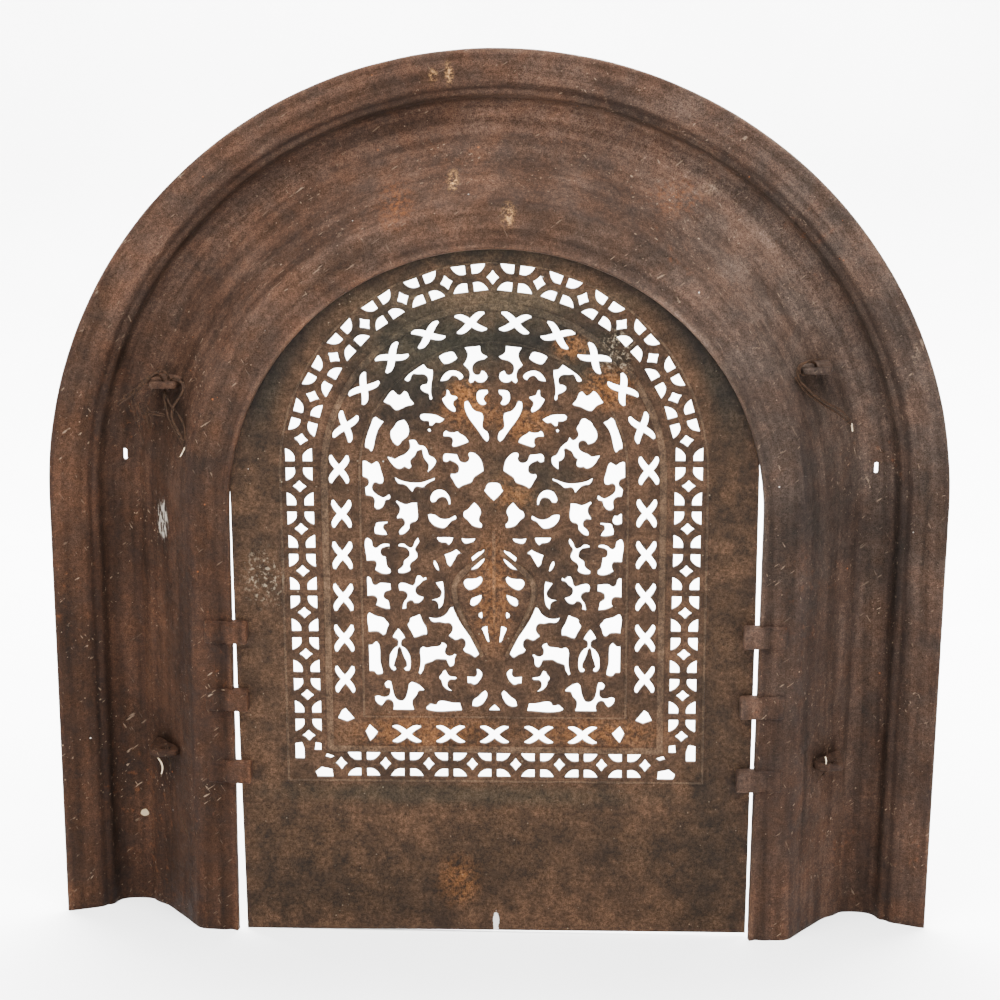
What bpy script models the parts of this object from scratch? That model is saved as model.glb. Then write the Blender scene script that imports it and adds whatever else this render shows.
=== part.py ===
"""Arched cast-iron fireplace surround with its openwork summer cover, seen from the back.

Frame: metres, +Z up, the rear of the casting faces -Y and the moulded room side faces +Y.
The feet stand on z = 0 and x = 0 is the axis of the arch.
"""
import math

import bmesh
import bpy

for item in list(bpy.data.objects):
    bpy.data.objects.remove(item, do_unlink=True)

mm = 0.001

# Driving sizes, all in millimetres. yShift puts y = 0 midway between crest and lug backs.
outerRadius = 387.5
archHeight = 390.0
mouldingWidth = 161.0
openingRadius = outerRadius - mouldingWidth
# The section's points are drawn for a moulding of this width and stretch with it.
drawnWidth = 161.0
widthShare = mouldingWidth / drawnWidth
yShift = -30.3
meshGap = 0.3

# The land behind which the cover stands, and the cover itself.
landFront = 6.5
coverBack = landFront + meshGap
coverThickness = 4.5
coverClearance = 2.2
coverTaper = 2.1
coverHalf = openingRadius - coverClearance
coverFoot = coverHalf - coverTaper
coverRimHeight = archHeight + 29.5 * widthShare
coverArchHeight = archHeight + 32.0
coverLean = math.radians(0.6)
coverShift = 2.3
# The piercing is drawn for a plate of this half width and arch height and stretches with it.
drawnHalf = 224.3
drawnArchHeight = 422.0
bandRadius = 164.7
bandArchHeight = 425.6
lugFront = landFront - meshGap

# Section of the moulding as (offset inward from the outer rim, depth toward the room).
sectionBack = [(0, 34), (33, 46), (36, 52), (45, 61), (52, 64), (74, 64), (83, 54), (88, 50),
               (99, 37.5), (113, 20), (120, 10.5), (125, 4.5), (129, 2.8), (150, 1.5), (161, 0)]
sectionFront = [(161, landFront), (129, landFront), (127, 9), (117, 22), (102, 42.5), (90, 56),
                (76, 68.7), (50, 68.7), (40, 64), (31, 51.5), (0, 39)]
archSteps = 24

# Lugs that hold the cover: side, height of the middle, reach into the opening.
lugs = [(-1, 282, 13.5), (-1, 220, 13.5), (-1, 153, 14.5), (1, 285, 13.5), (1, 221, 14.5), (1, 153, 15.5)]
lugRoot = 24.5
lugFoot = 9.5
lugHeight = 18.0
lugBack = -8.0

# Ears for the ties: side, offset inward from the rim, height, hole radius.
ears = [(-1, 103.5, archHeight + 104, 4.5), (1, 119.5, archHeight + 124, 4.5), (-1, 94.5, 160, 4.5),
        (1, 93.5, 158, 4.5)]
earWidth = 27.0
earThick = 6.0
earFront = 20.0
earPlaces = [(side * (outerRadius - offset * widthShare), height) for side, offset, height, hole in ears]
# Small slots through the moulding: side, offset inward from the rim, height.
slots = [(-1, 61.5, archHeight + 32), (1, 60.0, archHeight + 29.5)]

# Scrollwork of the inner panel for the side x < 0, mirrored to the other (x, height).
scroll = {
    "a1": [(-24, 533.8), (-11, 535.2), (-10, 529.5), (-4.7, 526), (-7, 523.8), (-12, 522.5),
           (-15.5, 520.5), (-17.5, 517.5), (-17.5, 514), (-16, 511.3), (-13.5, 510.3), (-11, 511),
           (-9.5, 514), (-7.5, 513.5), (-5.3, 510.5), (-5.2, 507.5), (-7.2, 504.7), (-10, 503.6),
           (-13, 504), (-15.5, 505.7), (-17, 504), (-19, 503), (-20.2, 504.8), (-19.2, 509.5),
           (-20.2, 514), (-24.8, 518.8), (-22, 523.5), (-21, 528)],
    "a2": [(-45.4, 525.8), (-43.5, 527.3), (-37, 529.8), (-33.5, 530), (-30, 524.7), (-31.5, 523),
           (-41, 519.5), (-42.5, 520.8)],
    "a3": [(-44.3, 504.8), (-42, 509.5), (-38.5, 512.8), (-35, 514.2), (-30.5, 513.7),
           (-27, 511.8), (-25.2, 509.3), (-26.3, 506.6), (-28.3, 505.8), (-30, 508.3),
           (-32, 509.4), (-35, 509.3), (-37.7, 506.3), (-40.5, 505)],
    "a4": [(-74.5, 505.8), (-71.5, 509.8), (-65, 514.8), (-58.3, 519.3), (-57, 518),
           (-55.3, 515.8), (-50.7, 514.6), (-50.6, 511), (-52, 502), (-52.3, 494), (-51.3, 490),
           (-52.3, 488.3), (-53.6, 489.7), (-54, 493.5), (-57.5, 495), (-60.8, 497.8),
           (-60.8, 500.3), (-58.5, 502), (-55.5, 502.3), (-54.4, 505), (-55, 508), (-57.5, 510.2),
           (-64, 510.5), (-67, 510.8), (-69, 508.5), (-70.3, 505), (-72, 504.3)],
    "a5": [(-92.3, 486.7), (-90, 490.2), (-85, 496.5), (-83.8, 496.8), (-82, 494.8), (-80, 493),
           (-78, 492.7), (-76.3, 494.3), (-74.5, 496.4), (-72.7, 495.6), (-70, 489.7),
           (-66.5, 485.5), (-68, 484.2), (-73, 483), (-78.5, 480.3), (-82, 479.4), (-87, 484.2),
           (-90.5, 485.6)],
    "a6": [(-39, 497.6), (-37.5, 497), (-36.3, 493.8), (-34, 492.5), (-31.2, 492), (-29.8, 490.7),
           (-33.8, 486.8), (-34, 485), (-32.2, 482), (-31.7, 479.5), (-32.7, 478.1),
           (-34.8, 478.8), (-38.8, 482), (-42, 486.8), (-43.2, 489.5), (-41, 491.2),
           (-39.5, 492.2), (-39, 494.5)],
    "a7": [(-13.9, 492), (-13.3, 495.3), (-12, 496.8), (-5, 497.6), (-4.4, 496), (-5.2, 493.8),
           (-7.8, 491.8), (-8.3, 489.7), (-6, 486.3), (-6.8, 484.8), (-9.3, 484.2), (-12, 485.7),
           (-13.6, 488.5)],
    "a8": [(-24.2, 485), (-23.5, 487.5), (-21.5, 488), (-20, 485.8), (-18, 482), (-15, 479.3),
           (-9.5, 477.3), (-8.8, 475), (-8.8, 464.2), (-5.5, 461.7), (-4.2, 458.5), (-4.3, 454),
           (-5.5, 452.5), (-7.3, 453.8), (-11, 459.3), (-15, 465), (-20, 472), (-22.8, 477.5),
           (-24, 481.5)],
    "a9": [(-100.5, 473.3), (-98.9, 474), (-96, 471.5), (-92.5, 470), (-97.7, 462.3),
           (-99.7, 456.5), (-101.5, 448), (-103, 443.8), (-104, 443.8), (-105.5, 445.7),
           (-108.5, 447), (-108.5, 450.5), (-106.3, 458.5), (-103, 467.5)],
    "a12": [(-84, 421.6), (-80, 419.2), (-75, 417.6), (-69, 416.7), (-61, 417), (-55, 419),
            (-50, 420.9), (-50, 419.3), (-54, 417), (-57.7, 414.5), (-60, 412.3), (-62.5, 412.4),
            (-65.5, 413), (-67.7, 411.5), (-69.2, 408.2), (-71.5, 410.7), (-74.3, 413.7),
            (-77.5, 415), (-80.5, 415.3), (-82.8, 418)],
    "a13": [(-42.5, 439.5), (-40.8, 442.2), (-38, 442.2), (-31, 441.5), (-30, 438.8),
            (-28.7, 436), (-26, 434.5), (-23, 434.5), (-21, 436), (-20.3, 438.5), (-21.3, 441.3),
            (-20.5, 443), (-17.5, 443.3), (-14, 441.3), (-11, 437.5), (-9.3, 432.5), (-8.6, 427),
            (-12.5, 424.3), (-17, 421), (-19, 417), (-22.5, 415.5), (-26.5, 414), (-30, 411.8),
            (-31.7, 413.5), (-34, 418), (-36.5, 423), (-35.5, 424.7), (-32.5, 424.5),
            (-30, 425.7), (-29, 428.5), (-29.7, 431.5), (-32, 433.8), (-35, 435.3),
            (-37.3, 436.4), (-39.5, 434.6), (-42.2, 435.3)],
    "a14": [(-61.8, 474), (-60.3, 476.3), (-55.5, 476.7), (-49, 476), (-44.5, 474), (-41.2, 472),
            (-42.8, 470.5), (-45.5, 468.7), (-48.7, 469.2), (-51.7, 466.3), (-53.7, 466.3),
            (-54.3, 470.3), (-59, 470.5), (-61, 471.7)],
    "a15": [(-55.7, 462.4), (-54, 464.1), (-52.3, 462.4), (-54, 460.7)],
    "a16": [(-42.2, 457), (-41.5, 461), (-40, 462.3), (-37.5, 460.9), (-32.5, 460.8),
            (-30.2, 461.6), (-28.7, 460), (-24.7, 457.7), (-22, 454.5), (-21.2, 452), (-23.5, 451),
            (-30, 448.7), (-33.8, 447.9), (-35.2, 449.5), (-34, 452.2), (-34.2, 454.5),
            (-36.2, 456.5), (-39.5, 457)],
    "a17": [(-110.8, 435.3), (-109, 435.8), (-106, 434.3), (-103.5, 432.5), (-101, 434),
            (-99, 435.2), (-97.8, 434.3), (-95.5, 427), (-93.7, 418.7), (-95, 415.5),
            (-97.3, 415.2), (-100, 416.6), (-102.5, 415.5), (-103.6, 412.8), (-102.8, 409.5),
            (-100, 406.5), (-97, 404.7), (-94, 403.5), (-91.3, 404.5), (-88.7, 406.2),
            (-88, 404.3), (-89.2, 401.5), (-92.5, 400.7), (-93.5, 397), (-96, 393.7),
            (-99, 392.8), (-101.5, 394.5), (-101, 400), (-103, 403.7), (-108.3, 405), (-109, 412),
            (-106.3, 414.3), (-105.7, 417), (-107, 419.7), (-111, 421.5)],
    "a18": [(-83.2, 399), (-82.2, 400.8), (-79.5, 399.2), (-74.5, 397.5), (-70, 398.8),
            (-65.5, 399.1), (-65.6, 383.5), (-67, 382), (-70, 381.3), (-72, 379.5), (-72, 376.5),
            (-74, 373.5), (-77.5, 370.7), (-80.3, 370.3), (-80.8, 372.5), (-78.8, 376.3),
            (-75.7, 379.5), (-76, 382.5), (-78.5, 385), (-82.5, 384.5), (-82.3, 386.5),
            (-80, 390.5), (-79.8, 394.5), (-81, 396.5)],
    "a19": [(-53.8, 401), (-53, 405.3), (-50.3, 409.3), (-46.3, 410.7), (-42, 409.7),
            (-38.8, 406.3), (-37.2, 402), (-37, 397.3), (-38, 397.3), (-39, 400.5), (-41, 403.3),
            (-44.5, 403.8), (-47.8, 402.3), (-49.8, 399.5), (-52.8, 399.2)],
    "a20": [(-56, 388.5), (-54.5, 389), (-50, 388.3), (-47, 386), (-43.5, 384.7), (-39, 384.8),
            (-35.5, 386.3), (-33, 388), (-32, 386.5), (-32.5, 384.2), (-36, 382.7), (-39.3, 379),
            (-42.5, 376.3), (-47, 376.8), (-51.5, 379), (-55, 383.5)],
    "a21": [(-49, 368.5), (-47.5, 365.3), (-45, 363.5), (-41, 363.3), (-38.7, 361.3),
            (-36.7, 363.3), (-34.7, 368.3), (-37, 368.5)],
    "a22": [(-16.5, 399.5), (-13.5, 396.5), (-11.3, 392.5), (-11.3, 389), (-12.7, 386),
            (-12.5, 382.5), (-10.3, 380.5), (-10.7, 376.7), (-13.5, 377), (-17.5, 378.3),
            (-20, 380.5), (-22.5, 383.7), (-25.3, 386), (-25, 391.5), (-22.3, 393), (-19.5, 396)],
    "a23": [(-27.5, 368), (-24.5, 367.2), (-20, 367.3), (-16, 367.7), (-17, 365), (-20, 363.4),
            (-25.2, 362.8), (-26.6, 364.3)],
    "b2": [(-99.8, 381), (-96, 381.7), (-90.8, 382), (-90.8, 380.3), (-94, 379.3), (-94.7, 376.5),
           (-92.5, 373.5), (-91, 370), (-95, 369.8), (-101.5, 371), (-102, 375), (-100.7, 378.5)],
    "b3": [(-109, 367), (-107.8, 367.7), (-104.5, 365), (-104, 361), (-101.5, 358.5),
           (-99.5, 359), (-97, 361.3), (-93.5, 362.5), (-89.7, 362.3), (-89.2, 360), (-94, 359),
           (-97, 357), (-97.3, 354.5), (-95.7, 351.7), (-93, 351), (-92.3, 345.5), (-91.3, 341.7),
           (-89.2, 339.8), (-89, 336), (-91.5, 335), (-96.5, 335.5), (-102.3, 338.7),
           (-101, 341), (-100.5, 344), (-102, 346.7), (-105, 347), (-109, 346.7)],
    "b4": [(-82, 360), (-81, 362), (-77, 362.6), (-74.5, 360.5), (-71, 359), (-69.5, 359.5),
           (-67.3, 364.5), (-64.8, 368), (-64, 365), (-65.3, 361.5), (-67.7, 358), (-66, 354),
           (-65.8, 350.5), (-68, 347.5), (-71, 345.5), (-72.5, 342.5), (-71.7, 339), (-74, 337),
           (-78.5, 335.7), (-81.8, 336), (-82.4, 339), (-79.5, 341), (-77.2, 343.8),
           (-76.8, 347.5), (-74.3, 349.5), (-72, 352), (-72.7, 355.7), (-75.5, 358.7),
           (-79, 359.3)],
    "b5": [(-51.7, 345.3), (-50.8, 347.8), (-49.3, 346), (-46.8, 338), (-48.5, 338.7),
           (-51, 342.5)],
    "b6": [(-42.5, 353), (-37, 355), (-32, 357.7), (-28, 354), (-31, 353), (-34, 348),
           (-37.5, 342), (-39.5, 343.5), (-41, 349)],
    "c1": [(-109, 332.5), (-107.5, 333), (-105.7, 331), (-104.7, 327), (-102.5, 325.2),
           (-100.5, 325.5), (-98.3, 327.2), (-94, 327.3), (-89.2, 326.8), (-88.8, 320.7),
           (-91, 320), (-94.3, 318.5), (-95.3, 315.7), (-94.3, 313.3), (-91.3, 311.5),
           (-90.5, 308), (-89.7, 303.5), (-92, 303.5), (-96.5, 304.5), (-102, 307),
           (-100.7, 309), (-100.5, 312.5), (-102.5, 315), (-105.5, 315.5), (-109, 315)],
    "c2": [(-81.8, 325.5), (-80.7, 327.2), (-76, 327.2), (-72.5, 325.8), (-69.5, 325),
           (-67.7, 327), (-66.7, 331.5), (-65.3, 334.2), (-63.5, 334.2), (-60.8, 331.5),
           (-58.5, 333), (-58, 330), (-61.2, 329), (-64, 325.8), (-67.5, 322.8), (-67.7, 319.5),
           (-65.5, 316.5), (-60.7, 314.8), (-62, 311.7), (-65, 309.2), (-68.5, 309),
           (-70.5, 311.3), (-74, 310.7), (-75.8, 308.5), (-75.8, 304), (-79, 303.3), (-78, 308),
           (-77, 311), (-75.2, 313.2), (-74.2, 315.8), (-75.3, 318.3), (-78, 319.7),
           (-81.3, 320)],
    "c3": [(-50.3, 327.9), (-46.2, 328.7), (-44.3, 329.3), (-43.6, 326), (-43.7, 312),
           (-45.2, 306.5), (-47.7, 304), (-48.2, 308.5), (-50.5, 311), (-53.7, 311.6),
           (-53.5, 312.6), (-49.8, 313.3), (-46.3, 315), (-44.8, 318.3), (-46.3, 321.7),
           (-48.7, 325)],
    "d1": [(-108.5, 299.5), (-107.3, 300.5), (-102, 297.5), (-95, 295.5), (-93.5, 293.3),
           (-91.2, 290.5), (-92.8, 286), (-95, 280), (-96.3, 279.8), (-99.3, 282.3), (-104, 283),
           (-108.4, 282.5)],
    "d2": [(-74.6, 289.5), (-72.7, 292.5), (-72.2, 295.5), (-67, 297.8), (-64.2, 299.3),
           (-61.7, 292.5), (-58.6, 286.5), (-58.4, 280.3), (-61.5, 280.3), (-66, 278.3),
           (-69.2, 277.7), (-71.5, 282.5)],
    "d3": [(-56.7, 297), (-52.8, 295.8), (-48, 296), (-43.5, 297.8), (-40, 301), (-37.5, 305.3),
           (-35.8, 306), (-34, 301.5), (-31, 295), (-25, 285), (-18, 274.7), (-13.7, 267.5),
           (-12.3, 264.7), (-15, 261), (-17, 259.8), (-20.8, 262.5), (-25.3, 264.5),
           (-27.2, 267.3), (-25, 270), (-24.5, 273), (-26, 276), (-28.7, 277.3), (-31.5, 276),
           (-33.5, 275.5), (-36.3, 277.3), (-39.5, 279.5), (-37.3, 282.2), (-35.7, 285),
           (-36.2, 288.7), (-39, 291), (-42.5, 290.8), (-47, 291.8), (-53.5, 292)],
    "e1": [(-108.6, 271), (-105, 271.5), (-103.3, 273.3), (-102, 274.4), (-100, 272),
           (-99.2, 267), (-99, 256), (-97.3, 248), (-97, 244.7), (-98.7, 243.7), (-102.3, 243.7),
           (-104.2, 246.2), (-108.4, 246.5)],
    "e2": [(-82.8, 286.2), (-84.8, 283.5), (-86.8, 280.3), (-87.9, 277.5), (-83.8, 275.5),
           (-82.8, 272.5), (-83.3, 270), (-85.5, 269), (-87.8, 266.5), (-90, 262.5),
           (-90.7, 257), (-90.8, 252), (-89.5, 248.5), (-87.3, 247), (-85.5, 248),
           (-85.7, 250.5), (-87.5, 252), (-86.5, 256), (-84.9, 260.5), (-84.2, 265),
           (-83.3, 268.3), (-82.3, 269), (-81, 268), (-79.5, 263), (-77.8, 258.5), (-76, 254.5),
           (-75.7, 251.7), (-77.5, 250.5), (-78.3, 248.5), (-76.8, 246.8), (-74.5, 247),
           (-73, 250.5), (-72.7, 256), (-73.5, 262), (-75.5, 266), (-78, 269), (-80.5, 270.3),
           (-81, 272.5), (-80.3, 275), (-77, 277.3), (-78.5, 280.5), (-80.5, 283.5)],
    "e3": [(-63.2, 268.7), (-61.5, 269.8), (-58.5, 268.7), (-55, 269.5), (-51, 270),
           (-47.5, 270.5), (-45.8, 271.8), (-45.2, 273.8), (-43, 273), (-41, 270.8),
           (-42.7, 267.3), (-42.9, 264.3), (-40.7, 261.8), (-37, 261.5), (-34.2, 263.5),
           (-32.7, 262.3), (-34.5, 259.5), (-35, 254.5), (-36.3, 251.7), (-38.3, 251),
           (-39.7, 253), (-41.5, 257.5), (-46, 257.8), (-51, 257.7), (-54.5, 255.5),
           (-58.5, 254.2), (-61, 252.7), (-61.5, 249), (-64.3, 243.8), (-65.8, 245),
           (-64.8, 248.5), (-63.8, 255)],
    "e4": [(-42.5, 248.5), (-41.5, 246.5), (-40, 243.8), (-37.5, 242.6), (-34, 242.3),
           (-32.3, 241.2), (-34.5, 239.2), (-38, 239.3), (-40.3, 237.8), (-41.2, 235), (-40, 232),
           (-37.5, 230), (-35.8, 228.6), (-38, 228.6), (-42, 230.5), (-45, 234), (-46, 238.3),
           (-47.9, 240.5), (-47.3, 243), (-45.5, 245), (-44.3, 247.5)],
    "e5": [(-15.5, 249.8), (-13.5, 249.3), (-10.9, 246), (-11.4, 242), (-14, 237.3),
           (-17.5, 234.7), (-20.5, 236), (-23.2, 236), (-23.5, 242.7), (-20, 242.4),
           (-16.5, 242.5), (-15, 244.5)],
    "f1": [(-95.5, 234.5), (-94.8, 236.5), (-92.3, 238.3), (-90.3, 238), (-89.4, 235),
           (-88.5, 229.5), (-86.7, 223.5), (-84, 220.6), (-81.3, 219.9), (-78.8, 220.6),
           (-76.7, 224), (-75, 230), (-74, 235.5), (-72.3, 237.3), (-69.5, 236.7),
           (-64.5, 233.8), (-60.7, 229.8), (-62, 229), (-66.3, 228.4), (-68, 224.5),
           (-71.7, 219.5), (-70, 210.8), (-88.6, 210.8), (-87.7, 214), (-88.5, 217.8),
           (-91.5, 220.4), (-95, 219.8), (-97, 216.5), (-98.7, 214.7), (-101.3, 216),
           (-103.8, 219.5), (-104, 223.5), (-101.5, 224.6), (-97, 223.2), (-92.5, 224),
           (-90.7, 226.5), (-91, 230.8), (-94, 231)],
    "f2": [(-59.5, 213.7), (-57.5, 215.5), (-55.5, 217.2), (-53, 216.6), (-50.2, 216.8),
           (-48.8, 219.5), (-46.5, 220.2), (-36, 218.4), (-30.2, 218.3), (-28.3, 210.7),
           (-57.5, 210.7), (-59.3, 211.8)],
    "f3": [(-8, 229.9), (-6.7, 228.2), (-6.6, 224.5), (-8.7, 219.5), (-11.7, 216),
           (-15.5, 214.4), (-19.6, 215.1), (-17.8, 221.5), (-14, 224.3), (-10.3, 228.3)],
    "g1": [(-8.3, 358.2), (-9, 355.3), (-8.2, 351.3), (-8.8, 347), (-11, 344), (-14.3, 340.7),
           (-18, 339.4), (-21.3, 339.5), (-23, 341), (-20.3, 342.7), (-18.4, 345.3),
           (-18.6, 348), (-19.5, 350.4), (-16.3, 353), (-13, 355.5), (-10, 356.4)],
    "g2": [(-25.8, 328.7), (-24, 331), (-18.7, 331.5), (-15, 332), (-11.5, 333.6),
           (-10.3, 331.8), (-11.2, 327.5), (-14.8, 323.8), (-18.5, 321.6), (-21.7, 321.1),
           (-24.7, 323.7)],
    "g3": [(-19.4, 313.3), (-15.5, 315.4), (-11, 317), (-11, 314.5), (-13, 310), (-16, 307.3),
           (-18.7, 306.5), (-20.4, 307.7)],
    "g4": [(-13, 296.5), (-13, 300), (-10.7, 301.7), (-10.3, 298), (-10.7, 295.3)],
    "g5": [(-11, 286.5), (-8.5, 288.3), (-6.2, 288.8), (-5.8, 284), (-4.9, 278), (-4.3, 273.5),
           (-5.5, 273.9), (-8, 279.5)],
}

# The heart hole differs on the two sides: joined at the right, two holes at the left.
heartRight = [(83.7, 467), (82.7, 469.5), (79.2, 472), (76.2, 473.5), (74.2, 472.5), (72.7, 469),
              (70.2, 464.5), (71.9, 459.5), (70.7, 456.5), (68.2, 454.5), (66.2, 454.5),
              (64.2, 457), (63.2, 454), (59.2, 450.5), (57.2, 448.5), (53.2, 441.5),
              (49.7, 439.7), (49.2, 437), (50.2, 432.5), (54.7, 428.5), (54.7, 435.5),
              (57.2, 436.5), (59.2, 439), (59.7, 442), (59.2, 446), (60.7, 447), (63.2, 446),
              (66.2, 444), (68.7, 439.5), (71.2, 437.5), (70.2, 434), (70.7, 431.5), (73.2, 430.5),
              (76.2, 431), (78.2, 429.5), (81.2, 430), (85.2, 433), (88.2, 438), (90.2, 441.5),
              (86.2, 440.5), (82.2, 440.3), (80.2, 442), (73.7, 445), (71.7, 447.5), (71.2, 450),
              (72.2, 452.5), (75.2, 454), (78.2, 453), (79.7, 450.5), (84.2, 452), (86.7, 455),
              (87.2, 460), (85.7, 464)]
heartLeft = [(-71.3, 453.7), (-66.3, 454), (-64.8, 452.5), (-63.8, 450), (-58.3, 448.5),
             (-56.3, 445.5), (-54.8, 441), (-49.8, 438), (-48.8, 436), (-50.3, 431.5),
             (-55.8, 425.5), (-54.8, 432), (-56.8, 435), (-58.8, 438), (-60.3, 445.5),
             (-64.8, 444), (-66.8, 440), (-70.8, 435.5), (-69.8, 430.5), (-71.8, 428.5),
             (-75.8, 430.5), (-77.8, 429), (-80.8, 428.5), (-84.8, 431), (-87.8, 435),
             (-90.3, 439.5), (-86.3, 438.5), (-83.3, 437.3), (-79.8, 439.5), (-75.8, 441),
             (-72.3, 444), (-70.3, 447)]
ovalLeft = [(-86.8, 457), (-86.3, 462), (-83.8, 465), (-80.8, 469.5), (-77.8, 471),
            (-75.3, 471.5), (-73.8, 470), (-71.3, 463), (-72.8, 457), (-77.8, 452.5),
            (-79.8, 449.5), (-81.3, 448.7), (-83.8, 450.5), (-85.8, 453.5)]
fanHole = [(0, 417), (-4, 416.5), (-5.9, 414.5), (-6.5, 412), (-8.2, 409.8), (-4.5, 405.3),
           (0, 400.8), (4.5, 405.3), (8.2, 409.8), (6.5, 412), (5.9, 414.5), (4, 416.5)]
footHole = [(0, 217), (-2, 215.3), (-5.5, 211), (5.5, 211), (2, 215.3)]
sideHole = [(108.7, 390), (107.2, 390), (105.2, 388), (102.7, 388.5), (101.2, 385),
            (101.7, 381.5), (103.7, 380), (108.7, 381)]


def material(name, colour, metallic, roughness):
    made = bpy.data.materials.new(name)
    made.use_nodes = True
    shader = made.node_tree.nodes["Principled BSDF"]
    shader.inputs["Base Color"].default_value = (*colour, 1.0)
    shader.inputs["Metallic"].default_value = metallic
    shader.inputs["Roughness"].default_value = roughness
    return made


def finish(name, mesh, slot):
    mesh.materials.clear()
    mesh.materials.append(slot)
    made = bpy.data.objects.new(name, mesh)
    bpy.context.collection.objects.link(made)
    return made


def fromBmesh(name, bm, slot):
    bmesh.ops.recalc_face_normals(bm, faces=bm.faces[:])
    bmesh.ops.triangulate(bm, faces=[face for face in bm.faces if len(face.verts) > 4])
    mesh = bpy.data.meshes.new(name)
    bm.to_mesh(mesh)
    bm.free()
    return finish(name, mesh, slot)


def place(x, y, z):
    return (x * mm, (y + yShift) * mm, z * mm)


def prism(name, lower, upper, slot):
    """A closed solid between two rings of the same number of corners."""
    bm = bmesh.new()
    rings = [[bm.verts.new(place(*corner)) for corner in ring] for ring in (lower, upper)]
    count = len(lower)
    bm.faces.new(rings[0])
    bm.faces.new(list(reversed(rings[1])))
    for i in range(count):
        j = (i + 1) % count
        bm.faces.new((rings[0][i], rings[1][i], rings[1][j], rings[0][j]))
    return fromBmesh(name, bm, slot)


def combine(target, other, operation):
    modifier = target.modifiers.new("join", "BOOLEAN")
    modifier.operation = operation
    modifier.solver = "EXACT"
    modifier.object = other
    graph = bpy.context.evaluated_depsgraph_get()
    mesh = bpy.data.meshes.new_from_object(target.evaluated_get(graph))
    target.modifiers.clear()
    target.data = mesh
    bpy.data.objects.remove(other, do_unlink=True)


def thin(points, tolerance):
    """Drops the points of a closed outline that lie within the tolerance of its chords."""
    def walk(part):
        if len(part) < 3:
            return part[:1]
        (ax, az), (bx, bz) = part[0], part[-1]
        length = math.hypot(bx - ax, bz - az)
        worst, far = 0, -1.0
        for i in range(1, len(part) - 1):
            px, pz = part[i]
            if length < 1e-6:
                away = math.hypot(px - ax, pz - az)
            else:
                away = abs((bx - ax) * (az - pz) - (ax - px) * (bz - az)) / length
            if away > far:
                worst, far = i, away
        if far <= tolerance:
            return part[:1]
        return walk(part[:worst + 1]) + walk(part[worst:])
    first = max(range(len(points)), key=lambda i: points[i][0] + points[i][1])
    ring = points[first:] + points[:first]
    far = max(range(len(ring)), key=lambda i: math.dist(ring[i], ring[0]))
    return walk(ring[:far + 1]) + walk(ring[far:] + ring[:1])


castIron = material("cast_iron_brown", (0.075, 0.045, 0.032), 0.55, 0.78)
coverIron = material("cast_iron_cover", (0.095, 0.062, 0.043), 0.5, 0.8)
tieWire = material("annealed_wire", (0.11, 0.085, 0.065), 0.7, 0.6)


# The surround: one moulded section swept up one leg, round the arch and down the other.
section = [(offset * widthShare, depth) for offset, depth in sectionBack + sectionFront]
stations = [None] + [math.pi - math.pi * i / archSteps for i in range(archSteps + 1)] + [None]
bm = bmesh.new()
rings = []
for index, angle in enumerate(stations):
    ring = []
    for offset, depth in section:
        radius = outerRadius - offset
        if angle is None:
            side = -1 if index == 0 else 1
            corner = place(side * radius, depth, 0)
        else:
            corner = place(radius * math.cos(angle), depth, archHeight + radius * math.sin(angle))
        ring.append(bm.verts.new(corner))
    rings.append(ring)
for a, b in zip(rings, rings[1:]):
    for i in range(len(section)):
        j = (i + 1) % len(section)
        bm.faces.new((a[i], a[j], b[j], b[i]))
bm.faces.new(rings[0])
bm.faces.new(list(reversed(rings[-1])))
surround = fromBmesh("surround", bm, castIron)

for number, (side, height, reach) in enumerate(lugs):
    tip, foot, root = openingRadius - reach, openingRadius + lugFoot, openingRadius + lugRoot
    plan = [(tip, lugFront), (tip, lugBack), (foot, lugBack), (root, 2.0), (root, 4.6), (foot, 4.6)]
    spread = [0, 0, 0, 2.5, 2.5, 1]
    drop = [0, 2.5, 2.5, 0, 0, 0]
    low = []
    top = []
    for (x, y), wide, slope in zip(plan, spread, drop):
        low.append((side * x, y, height - lugHeight / 2 - wide))
        top.append((side * x, y, height + lugHeight / 2 + wide - slope))
    combine(surround, prism("lug%d" % number, low, top, castIron), "UNION")

for number, (side, offset, z, hole) in enumerate(ears):
    x = earPlaces[number][0]
    half = earWidth / 2
    plan = [(-half, 50), (-half, earFront + 6), (-half + 2.5, earFront + 1.5), (-half + 7, earFront),
            (half - 7, earFront), (half - 2.5, earFront + 1.5), (half, earFront + 6), (half, 50)]
    low = []
    top = []
    for dx, y in plan:
        inner = -side * dx > 0
        deep = y - (8 if (y == 50 and inner) else 0)
        low.append((x + dx, deep, z - earThick / 2))
        top.append((x + dx, deep, z + earThick / 2))
    combine(surround, prism("ear%d" % number, low, top, castIron), "UNION")
    low = []
    top = []
    for i in range(10):
        turn = 2 * math.pi * i / 10
        low.append((x + hole * math.cos(turn), earFront + 8.5 + hole * 0.85 * math.sin(turn), z - 9))
        top.append((x + hole * math.cos(turn), earFront + 8.5 + hole * 0.85 * math.sin(turn), z + 9))
    combine(surround, prism("earhole%d" % number, low, top, castIron), "DIFFERENCE")

for number, (side, offset, z) in enumerate(slots):
    x = side * (outerRadius - offset * widthShare)
    ring = [(-2, -5), (2, -5), (2, 5), (-2, 5)]
    near = [(x + dx, 50, z + dz) for dx, dz in ring]
    far = [(x + dx, 80, z + dz) for dx, dz in ring]
    combine(surround, prism("slot%d" % number, near, far, castIron), "DIFFERENCE")


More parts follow.
